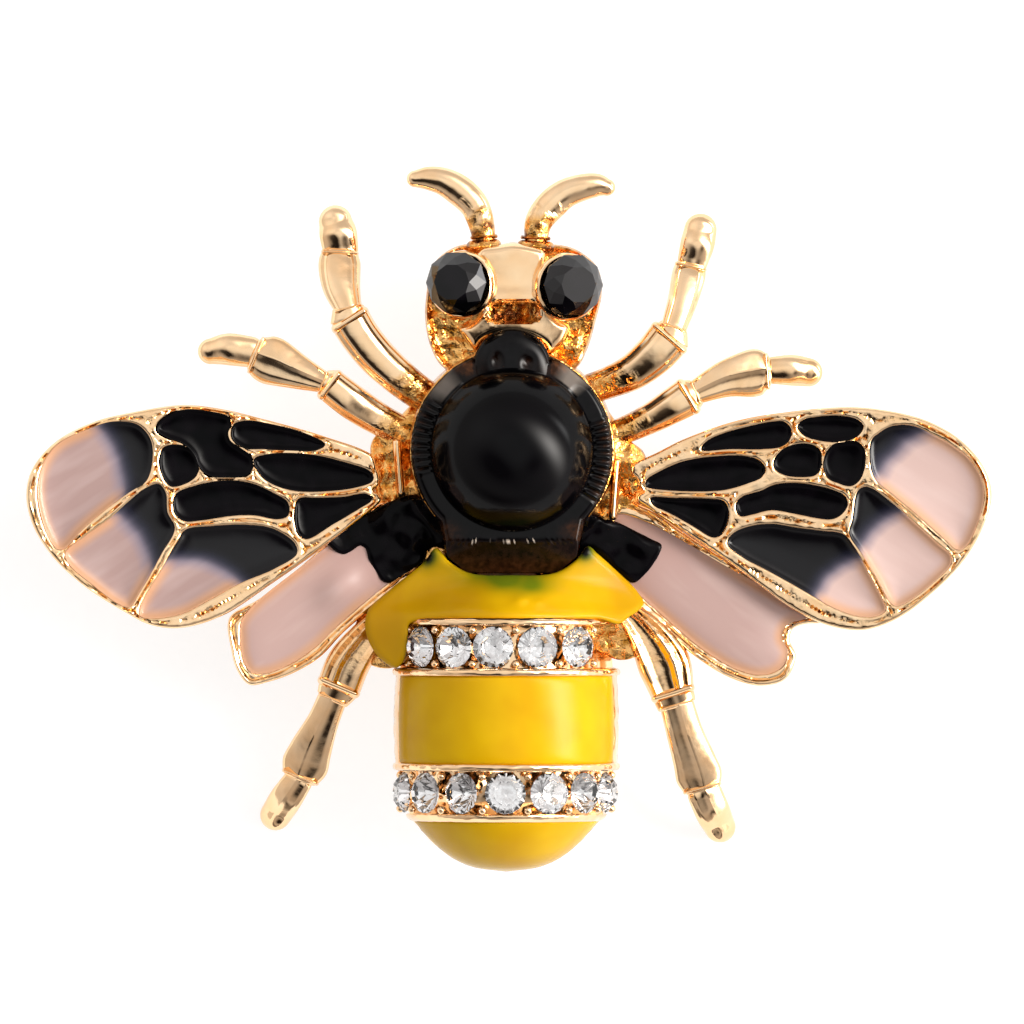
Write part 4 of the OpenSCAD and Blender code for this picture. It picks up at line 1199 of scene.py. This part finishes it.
# Each part's cross-section and its stations from the body outwards, which are like those of the antennae.
LEGS = {
    "front_left": {
        "thigh": (FRAMED, [
            ((436, 402), 4.85, 0.8, 0.75), ((412, 386), 5.2, 0.86, 0.75), ((380, 358), 5.42, 0.95, 0.72),
            ((362, 336), 5.55, 0.97, 0.68), ((352, 320), 5.6, 1.0, 0.66),
        ]),
        "shin": (FRAMED, [
            ((350, 308), 5.5, 0.68, 0.6), ((343, 285), 5.1, 0.94, 0.62), ((341, 262), 4.65, 1.02, 0.6),
            ((341.5, 252), 4.45, 0.9, 0.56),
        ]),
        "foot": (SOFT_BAR, [
            ((342, 248), 4.3, 0.88, 0.5), ((339.5, 232), 4.32, 0.92, 0.64), ((337, 221), 4.1, 0.82, 0.6),
        ]),
    },
    "front_right": {
        "thigh": (FRAMED, [
            ((588, 390), 4.5, 0.72, 0.72), ((612, 382), 4.75, 0.78, 0.72), ((636, 371), 5.3, 0.9, 0.7),
            ((658, 353), 5.62, 1.02, 0.68), ((671, 338), 5.66, 1.07, 0.66),
        ]),
        "shin": (FRAMED, [
            ((676, 327), 5.55, 0.64, 0.6), ((685.5, 298), 5.1, 0.75, 0.62), ((691, 275), 4.65, 0.83, 0.6),
            ((693, 266), 4.45, 0.78, 0.56),
        ]),
        "foot": (SOFT_BAR, [
            ((695.5, 259.5), 4.3, 0.76, 0.5), ((700, 243), 4.32, 0.84, 0.64), ((703, 229), 4.1, 0.8, 0.6),
        ]),
    },
    "middle_left": {
        "thigh": (FRAMED, [
            ((412, 435), 4.75, 0.74, 0.68), ((384, 421), 4.85, 0.78, 0.68), ((366, 410), 5.1, 0.84, 0.66),
            ((350, 399), 5.38, 0.86, 0.64), ((332, 385), 5.42, 0.84, 0.6),
        ]),
        "shin": (FACETED, [
            ((325, 382), 5.3, 0.54, 0.52), ((300, 372), 5.15, 0.86, 0.56), ((274, 361), 4.95, 1.18, 0.56),
            ((265, 358), 4.9, 1.12, 0.54), ((258, 355), 4.85, 0.94, 0.5),
        ]),
        "foot": (SOFT_BAR, [
            ((251, 351.5), 4.65, 0.76, 0.46), ((229, 349), 4.62, 0.78, 0.54), ((212, 351), 4.4, 0.63, 0.48),
        ]),
    },
    "middle_right": {
        "thigh": (FRAMED, [
            ((608, 437), 4.7, 0.64, 0.68), ((634, 427), 4.8, 0.68, 0.68), ((657, 416), 5.1, 0.77, 0.66),
            ((674, 406), 5.38, 0.86, 0.64), ((690, 396.5), 5.42, 0.94, 0.6),
        ]),
        "shin": (FACETED, [
            ((698, 392), 5.3, 0.6, 0.52), ((729, 378.5), 5.15, 0.92, 0.56), ((755, 373), 4.95, 1.16, 0.56),
            ((763, 371.5), 4.9, 1.1, 0.54), ((769.5, 371), 4.85, 0.88, 0.5),
        ]),
        "foot": (SOFT_BAR, [
            ((777, 370), 4.65, 0.68, 0.46), ((795, 370), 4.62, 0.76, 0.54), ((811, 372), 4.4, 0.7, 0.48),
        ]),
    },
    "hind_left": {
        "thigh": (FLUTED, [
            ((392, 610), 5.0, 0.5, 0.6), ((370, 636), 4.95, 0.85, 0.62), ((350, 664), 4.85, 1.06, 0.62),
            ((340.5, 687), 4.7, 1.08, 0.6),
        ]),
        "shin": (FACETED, [
            ((334, 699), 4.45, 0.72, 0.54), ((325, 721), 4.0, 0.78, 0.56), ((312, 751), 3.4, 1.04, 0.56),
            ((306, 767), 3.05, 1.14, 0.54), ((301.5, 778), 2.85, 0.94, 0.5),
        ]),
        "foot": (FACETED, [
            ((298.5, 783), 2.75, 0.72, 0.5), ((287, 800), 2.25, 0.8, 0.62), ((276, 817), 1.12, 0.77, 1.04),
        ]),
    },
    "hind_right": {
        "thigh": (FLUTED, [
            ((630, 612), 5.0, 0.6, 0.6), ((650, 636), 4.95, 1.0, 0.62), ((666, 664), 4.85, 1.28, 0.62),
            ((675, 693), 4.65, 1.08, 0.6),
        ]),
        "shin": (FACETED, [
            ((679, 705), 4.45, 0.84, 0.54), ((687, 733), 3.9, 0.9, 0.56), ((697, 762), 3.3, 1.05, 0.56),
            ((702, 778), 2.95, 1.13, 0.54), ((705, 789), 2.8, 0.95, 0.5),
        ]),
        "foot": (FACETED, [
            ((708, 796), 2.75, 0.86, 0.5), ((716, 814), 2.25, 0.86, 0.62), ((723.5, 829), 1.12, 0.78, 1.04),
        ]),
    },
}


def cuff(stations, thick, over):
    """A rolled edge across the end of a limb, as wide as the limb there and a little higher."""
    before, (x, y, z, w, h) = stations[-2:]
    length = math.hypot(x - before[0], y - before[1])
    hx, hy = (x - before[0]) / length, (y - before[1]) / length
    reach = w + 0.04 - 0.9 * thick
    return lofted(
        [(x - hy * s, y + hx * s, z, thick, h + over) for s in (-reach, 0, reach)], SOFT_BAR, 0.9, 0.1,
    )


def knee(thigh_end, shin_start):
    """The short neck between a thigh's cuff and the shin."""
    (*at, z, w, h), (*to, low, narrow, thin) = thigh_end, shin_start
    return lofted([(*at, z - 0.06, 0.97 * w, 0.95 * h), (*to, low, 1.15 * narrow, 0.96 * thin)], SOFT_BAR, KNEE_CAP)


for name, leg in LEGS.items():
    parts = []
    for part, (section, pixels) in leg.items():
        stations = at_pixels(pixels)
        if "right" in name:
            section = [(-a, b) for a, b in section[::-1]]
        parts.append(lofted(stations, section, CAPS[part]))
        if part == "thigh":
            parts += [cuff(stations, *THIGH_CUFF), knee(stations[-1], at_pixels(leg["shin"][1])[0])]
        elif part == "shin":
            parts += [cuff(stations[::-1], *SHIN_TOP_CUFF), cuff(stations, *SHIN_CUFF)]
    obj = cast_piece(f"{name}_leg", joined(*parts))
    # The first millimetres from the body were left as cast, and a hind thigh was only rubbed down.
    if name.startswith("hind"):
        leave_cast(obj, lambda p: 0.25 * np.clip(
            (p[:, 1] - HIND_CAST_Y + 0.8 * rough(p, 0.7, 30.0)) / 1.2, 0, 1,
        ), 0.3)
    else:
        leave_cast(obj, lambda p: (CAST_R - np.hypot(p[:, 0], p[:, 1]) + 0.8 * rough(p, 0.7, 30.0)) / 0.9, 0.3)


# Abdomen, the casting.
# Half a barrel, flat behind, cast with the body. It has a channel for each row of stones, with a polished bead
# along both edges, and sunk beds for the bands of enamel.

AXIS_X = -0.28
AXIS_Z = 4.4
BARREL_START = -5.0
BARREL_L = 15.62
BARREL_R = 5.5
BARREL = [
    (0, 0.36), (0.06, 0.42), (0.1, 0.58), (0.15, 0.77), (0.21, 0.93), (0.29, 0.965), (0.42, 0.99), (0.525, 1),
    (0.64, 0.99), (0.74, 0.96), (0.81, 0.89), (0.86, 0.78), (0.91, 0.65), (0.955, 0.49), (0.985, 0.3), (1, 0.005),
]
ROWS_Y = {"upper": -9.59, "lower": -16.7}
CHANNEL_HALF = 1.05
CHANNEL_D = 0.95
RIM_W = 0.38
RIM_H = 0.16
BED_D = 0.3
BAND_HALF_ANGLE = {"middle": 74, "tail": 82}
# The relief has faded out this many degrees from the top, at the sides.
FADE_ANGLE = 98

barrel = curve(BARREL, 0.01, closed=False)


def barrel_r(y):
    """Radius of the barrel at a place along it."""
    return BARREL_R * np.interp((BARREL_START - y) / BARREL_L, barrel[:, 0], barrel[:, 1])


stops = [BARREL_START - BARREL_L * s for s in np.linspace(0.065, 1, 66)]
for row in ROWS_Y.values():
    for gap in (1.02, 1.05, 1.08, 1.13, 1.19, 1.24, 1.3, 1.36, 1.4, 1.43, 1.46):
        stops += [row - gap, row + gap]
skin, under = [], []
for y in sorted(stops, reverse=True):
    r = max(barrel_r(y), 0.05)
    widest = math.acos(max(-1, (BACK_Z - AXIS_Z) / r))
    turn = np.linspace(-widest, widest, 121)
    gap = min(abs(y - row) for row in ROWS_Y.values())
    bead = math.sqrt(max(0, 1 - (2 * (gap - CHANNEL_HALF) / RIM_W - 1) ** 2))
    spots = np.column_stack([turn * r, np.full(len(turn), y)])
    cast = 0.05 * rough(spots, 0.5, 20.0) + 0.02 * rough(spots, 0.2, 21.0)
    deep = np.full(len(turn), -CHANNEL_D if gap < CHANNEL_HALF - 0.01 else 0.0)
    if bead:
        deep += RIM_H * bead + cast
    elif gap > CHANNEL_HALF:
        half = BAND_HALF_ANGLE["middle"] if ROWS_Y["lower"] < y < ROWS_Y["upper"] else 90
        deep -= BED_D * np.clip((half - np.abs(np.degrees(turn))) / 1.5, 0, 1)
        deep += cast * (np.abs(np.degrees(turn)) > half)
    deep *= np.clip((FADE_ANGLE - np.abs(np.degrees(turn))) / 10, 0, 1)
    out = np.maximum(r + deep, 0.04)
    skin.append(np.column_stack([
        AXIS_X + out * np.sin(turn), np.full(len(turn), y), AXIS_Z + out * np.cos(turn),
    ]))
    under.append(np.column_stack([
        AXIS_X + 0.9 * r * np.sin(turn), np.full(len(turn), y), np.full(len(turn), BACK_Z),
    ]))
cast_piece("abdomen_casting", skin_between(np.array(skin), np.array(under), False))


# Abdomen, the enamel.
# Yellow epoxy on the shoulders, the middle band and the tail, fuller than flush and run into the black at the front,
# with amber painted shade at its sides and on the left shoulder.

UPPER_BAND = [
    (438, 548), (426, 562), (404, 580), (382, 598), (370, 610), (367, 628), (374, 648), (386, 662), (398, 668),
    (405, 662), (409, 650), (410, 636), (412, 624), (440, 618.5), (480, 618.5), (514, 618.5), (560, 618.5),
    (600, 618.5), (620, 624), (630, 618), (646, 604), (640, 592), (618, 570), (600, 554), (590, 546), (578, 560),
    (556, 573), (514, 575), (472, 573), (452, 562),
]
# Where the bands start and end along the barrel. Their edges lie a little under its surface and they swell over it.
BANDS_Y = {"middle": (-11.0, -15.28), "tail": (-18.11, -20.61)}
BAND_SWELL = 0.1
BAND_SINK = 0.06
# Corners of the shoulders where the black of the hindwings ran in, in pixels.
BLACK_CORNERS = ((430, 556), (587, 551))

# Opaque yellow epoxy. It is drawn amber at its sides and on the left shoulder as painted shade, and the wet black has
# run into it as green.
yellow_enamel, tree, place = new_material("yellow_epoxy_enamel")
cloud = clouds(tree, place, 2.5, 2.0)
tone = ramp(tree, cloud, (0.3, "#C49507"), (0.7, "#D0A50B"))
for cause, strongest in (("painted_side_shade", "#A8740A"), ("green", "#56690F"), ("black", "#0C0B09")):
    share = stored(tree, cause)
    tone = blend(tree, share, tone, to_linear(strongest))
bump = bumped(tree, cloud, 0.3, 0.1)
finish_material(tree, Base_Color=tone, Roughness=0.2, IOR=1.5, Specular_IOR_Level=0.1, Normal=bump)


def near_pixel(points, pixel, wide, high):
    """How near the points are to a pixel of the photograph, fading out over the two radii in pixels."""
    x, y = spot(pixel)
    away = ((points[:, 0] - x) / (wide * PIXEL_MM)) ** 2 + ((points[:, 1] - y) / (high * PIXEL_MM)) ** 2
    return np.exp(-away)


def tinted(obj, shoulders):
    """Stores where the yellow is drawn amber as painted shade, at the sides and on the left shoulder, and green or
    black where the black ran in.
    """
    flat = places(obj)[:, :2]
    wisps = 0.5 * rough(flat, 0.9, 34.0)
    out = np.abs(flat[:, 0] + 0.2) + 0.3 * wisps
    shares = {
        # Painted shade: amber towards the sides, and on the left shoulder below.
        "painted_side_shade": 0.4 * np.clip((out - 3.9) / 1.5, 0, 1) ** 1.5,
        "green": np.zeros(len(flat)),
        "black": np.zeros(len(flat)),
    }
    if shoulders:
        shares["painted_side_shade"] = np.maximum(shares["painted_side_shade"], 0.45 * near_pixel(flat, (440, 600), 40, 30))
        green = 1.3 * near_pixel(flat, (508, 574), 46, 14) + 0.5 * near_pixel(flat, (532, 588), 26, 8)
        for corner in BLACK_CORNERS:
            green += near_pixel(flat, corner, 11, 12) * 1.3
            shares["black"] += near_pixel(flat, corner, 6, 8) * 1.4
        shares["green"] = np.clip(green * (1 + 0.6 * wisps) - 0.06, 0, 0.95)
        shares["black"] += near_pixel(flat, (508, 567), 52, 8)
        shares["black"] = np.clip(shares["black"] * 1.2 - 0.2, 0, 1)
    for cause, share in shares.items():
        store(obj, cause, share)


def band(from_y, to_y, half_angle, to_tip):
    """A band of enamel around the barrel, full in the middle with rounded edges, or run on to the barrel's tip."""
    turn = np.radians(np.linspace(-half_angle, half_angle, 110))
    outer, inner = [], []
    for y in np.linspace(from_y, to_y, 48):
        r = barrel_r(y)
        gap = from_y - y if to_tip else min(from_y - y, y - to_y)
        side_gap = (math.radians(half_angle) - np.abs(turn)) * max(r, 0.5)
        full = BAND_SWELL * rounded(np.minimum(gap, side_gap), 0.45) - BAND_SINK
        for rows, out in ((outer, r + full), (inner, np.full(len(turn), r - 0.35))):
            out = np.maximum(out, 0.01)
            z = np.maximum(AXIS_Z + out * np.cos(turn), BACK_Z)
            rows.append(np.column_stack([AXIS_X + out * np.sin(turn), np.full(len(turn), y), z]))
    return skin_between(np.array(outer), np.array(inner), False)


def upper_top(points, gap):
    """The barrel's front end blended into the flat shoulders at its sides."""
    x, y = points.T
    hill = AXIS_Z + barrel_r(y) * np.exp(-0.75 * ((x - AXIS_X) / barrel_r(y)) ** 2)
    slope = SHOULDER_Z + 0.2 + 1.5 * np.exp(-((np.abs(x) - 2) / 3.2) ** 2)
    both = np.log(np.exp(hill * 1.6) + np.exp(slope * 1.6)) / 1.6
    drop = 0.2 * near_pixel(points, (522, 600), 9, 5) + 0.12 * near_pixel(points, (540, 602), 7, 4)
    return both + drop + 0.25 * (rounded(gap, 0.3) - 1)


bands = {
    "upper": relief(
        loop(UPPER_BAND), upper_top, level_at(SHOULDER_Z - ENAMEL_T), rows=(0.04, 0.1, 0.2), spacing=0.13,
    ),
}
for name, ends in BANDS_Y.items():
    bands[name] = band(*ends, BAND_HALF_ANGLE[name], name == "tail")
for name, shape in bands.items():
    obj = piece(
        f"abdomen_{name}_enamel", shape, yellow_enamel, [f"abdomen_enamel_{name}"], sharp=60,
    )
    tinted(obj, name == "upper")


# Stones.
# Foil-backed rhinestones two millimetres across, glued in the channels between small cast beads. One seat at
# the end of the upper row is empty, and one stone of the lower row has tipped on its edge.

STONE_R = 1.0
STONE_CROWN = 0.44
STONE_DEPTH = 0.84
STONE_TABLE = 0.58
STONE_SINK = 0.1
# How many degrees round the barrel each stone sits.
STONE_TURNS = {
    "upper": (-53, -29.5, -7, 17, 42), "lower": (-75, -50, -25.2, -0.5, 24, 48, 70),
}
TIPPED = ("lower", 2)
TIP_ANGLE = 16
STONE_SPIN = 37
BEAD_R = 0.2
BEAD_SIDE = 0.82
BEAD_SINK = 0.06
END_BEAD_TURN = 12

# Clear crystal glass: colourless, with the bright edges of its facets.
clear_glass, tree, place = new_material("clear_crystal_glass")
finish_material(tree, Base_Color=to_linear("#FFFFFF"), Roughness=0.01, IOR=1.58, Transmission_Weight=1.0)

# Vacuum silver foil on the backs of the stones, slightly tarnished.
silver_foil, tree, place = new_material("silver_foil")
tarnish = clouds(tree, place, 0.7, 2.0)
tone = ramp(tree, tarnish, (0.35, "#E4E1E0"), (0.6, "#FFFFFF"))
finish_material(tree, Base_Color=tone, Metallic=1.0, Roughness=0.03)


def on_barrel(row, turn, out):
    """A place over a channel: out is the height over the barrel's surface."""
    r = barrel_r(ROWS_Y[row]) + out
    turn = math.radians(turn)
    return (AXIS_X + r * math.sin(turn), ROWS_Y[row], AXIS_Z + r * math.cos(turn))


for row, turns in STONE_TURNS.items():
    beads = []
    for i, turn in enumerate(turns):
        points, faces, first = chaton(8, STONE_R, STONE_CROWN, STONE_DEPTH, STONE_TABLE)
        spin = math.radians(STONE_SPIN * i)
        points = [
            (x * math.cos(spin) - y * math.sin(spin), x * math.sin(spin) + y * math.cos(spin), z)
            for x, y, z in points
        ]
        lean = TIP_ANGLE if (row, i) == TIPPED else 0
        points = stand(points, on_barrel(row, turn, -STONE_SINK), math.radians(turn - lean))
        name = f"{row}_stone_{i + 1}"
        obj = piece(f"{name}_cut", (points, faces), clear_glass, [name], sharp=1)
        obj.data.materials.append(silver_foil)
        for facet in obj.data.polygons[first:]:
            facet.material_index = 1
    between = [(a + b) / 2 for a, b in zip(turns, turns[1:])]
    ball = [(BEAD_R * math.sin(a), BEAD_R * math.cos(a)) for a in np.radians((3, 30, 60, 90, 120, 150, 177))]
    for turn in (turns[0] - END_BEAD_TURN, *between, turns[-1] + END_BEAD_TURN):
        for across in (-BEAD_SIDE, BEAD_SIDE):
            x, y, z = on_barrel(row, turn, -BEAD_SINK)
            points, faces = turned(ball, 14)
            beads.append((stand(points, (x, y + across, z), 0), faces))
    cast_piece(f"{row}_row_beads", joined(*beads))


# Pin fitting.
# A gold-plated steel bar pin soldered on the back: a strip with a hinge block, a catch block and a round stem.
# It keeps its plain shape, because it can't be seen from the front.

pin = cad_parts["pin_back"]
pin.data.materials.clear()
pin.data.materials.append(gold_plate)


# Floor, light and camera.
# A light table inside a tent of soft light, with a bright strip at the right and the dark gap that the
# photographer's side leaves.

bpy.ops.mesh.primitive_plane_add(size=3.0, location=(0, 0, 0))
floor = bpy.context.object
floor.name = "floor"
# Frosted white acrylic, lit evenly from below, so it shows next to no shadow.
acrylic, tree, place = new_material("lit_frosted_acrylic")
frost = clouds(tree, place, 0.5, 3.0)
tone = ramp(tree, frost, (0.3, "#949494"), (0.7, "#9C9C9C"))
finish_material(
    tree, Base_Color=tone, Roughness=0.9, Emission_Color=to_linear("#FFFFFF"),
    Emission_Strength=0.79,
)
floor.data.materials.append(acrylic)

world = bpy.data.worlds.new("light_tent")
bpy.context.scene.world = world
world.use_nodes = True
tree = world.node_tree
tree.nodes.clear()
direction = add(tree, "ShaderNodeTexCoord", {}).outputs["Generated"]
rise = add(tree, "ShaderNodeSeparateXYZ", {0: direction}).outputs["Z"]
rise = scaled(tree, rise, -1.0, 1.0)
tent = ramp(
    tree, rise, (0.0, "#FFFFFF"), (1.0, "#FFFFFF"), (0.5, "#E6E2E0"), (0.62, "#D4CECB"), (0.8, "#D0CBCA"),
    (0.93, "#E2E0E0"), (0.975, "#FFFFFF"),
)


def glow_from(light, azimuth, elevation, lean, wide, high, colour, strength, blend_type):
    """The tent's light with one soft-edged panel added, or a soft shadow mixed in.

    The panel's middle, the lean of its longer side and its two radii are in degrees.
    """
    a, e, t = math.radians(azimuth), math.radians(elevation), math.radians(lean)
    middle = np.array([math.cos(e) * math.cos(a), math.cos(e) * math.sin(a), math.sin(e)])
    level = np.array([-math.sin(a), math.cos(a), 0])
    upright = np.cross(middle, level)
    parts = []
    for axis, size in (
        (math.cos(t) * level + math.sin(t) * upright, wide), (math.cos(t) * upright - math.sin(t) * level, high),
    ):
        share = add(tree, "ShaderNodeVectorMath", {
            0: direction, 1: tuple(axis / math.radians(size)),
        }, operation="DOT_PRODUCT")
        parts.append(worked_out(tree, "POWER", share.outputs["Value"], 2.0))
    away = worked_out(tree, "MULTIPLY", worked_out(tree, "ADD", *parts), -1.0)
    soft = worked_out(tree, "EXPONENT", away)
    ahead = add(tree, "ShaderNodeVectorMath", {0: direction, 1: tuple(middle)}, operation="DOT_PRODUCT")
    ahead = worked_out(tree, "GREATER_THAN", ahead.outputs["Value"], 0.0)
    share = worked_out(tree, "MULTIPLY", worked_out(tree, "MULTIPLY", soft, ahead), strength)
    return blend(
        tree, share, light, to_linear(colour), blend_type=blend_type, clamp_factor=blend_type == "MIX",
    )


# Azimuth, elevation, lean and two radii in degrees, colour and strength. MIX is a dark gap and ADD is a light.
PANELS = [
    (228, 57, 0, 34, 17, "#150E0A", 1.35, "MIX"),
    (325, 52, 0, 16, 11, "#20160F", 0.9, "MIX"),
    (255, 12, 0, 34, 9, "#20160F", 0.9, "MIX"),
    (150, 35, 0, 26, 24, "#FFFFFF", 0.6, "ADD"),
    (6, 33, 37, 24, 9.5, "#FFFAF4", 24.0, "ADD"),
    (22, 6, 23, 14, 3.5, "#FFFFFF", 7.0, "ADD"),
]
light = tent
for panel in PANELS:
    light = glow_from(light, *panel)
sky = add(tree, "ShaderNodeBackground", {"Color": light, "Strength": 1.0})
add(tree, "ShaderNodeOutputWorld", {"Surface": sky.outputs[0]})

bpy.context.scene.view_settings.view_transform = "Standard"

# A long lens straight above. At the height of the wings the picture is as wide as the photograph.
VIEW_W = 49.97
VIEW_Y = 0.36
VIEW_Z = 6
lens = bpy.data.cameras.new("camera")
lens.lens = 500
lens.sensor_width = 36
lens.clip_start = 0.01
lens.clip_end = 10
camera = bpy.data.objects.new("camera", lens)
camera.location = (0, VIEW_Y * MM, (VIEW_Z + VIEW_W * lens.lens / lens.sensor_width) * MM)
bpy.context.scene.collection.objects.link(camera)
bpy.context.scene.camera = camera
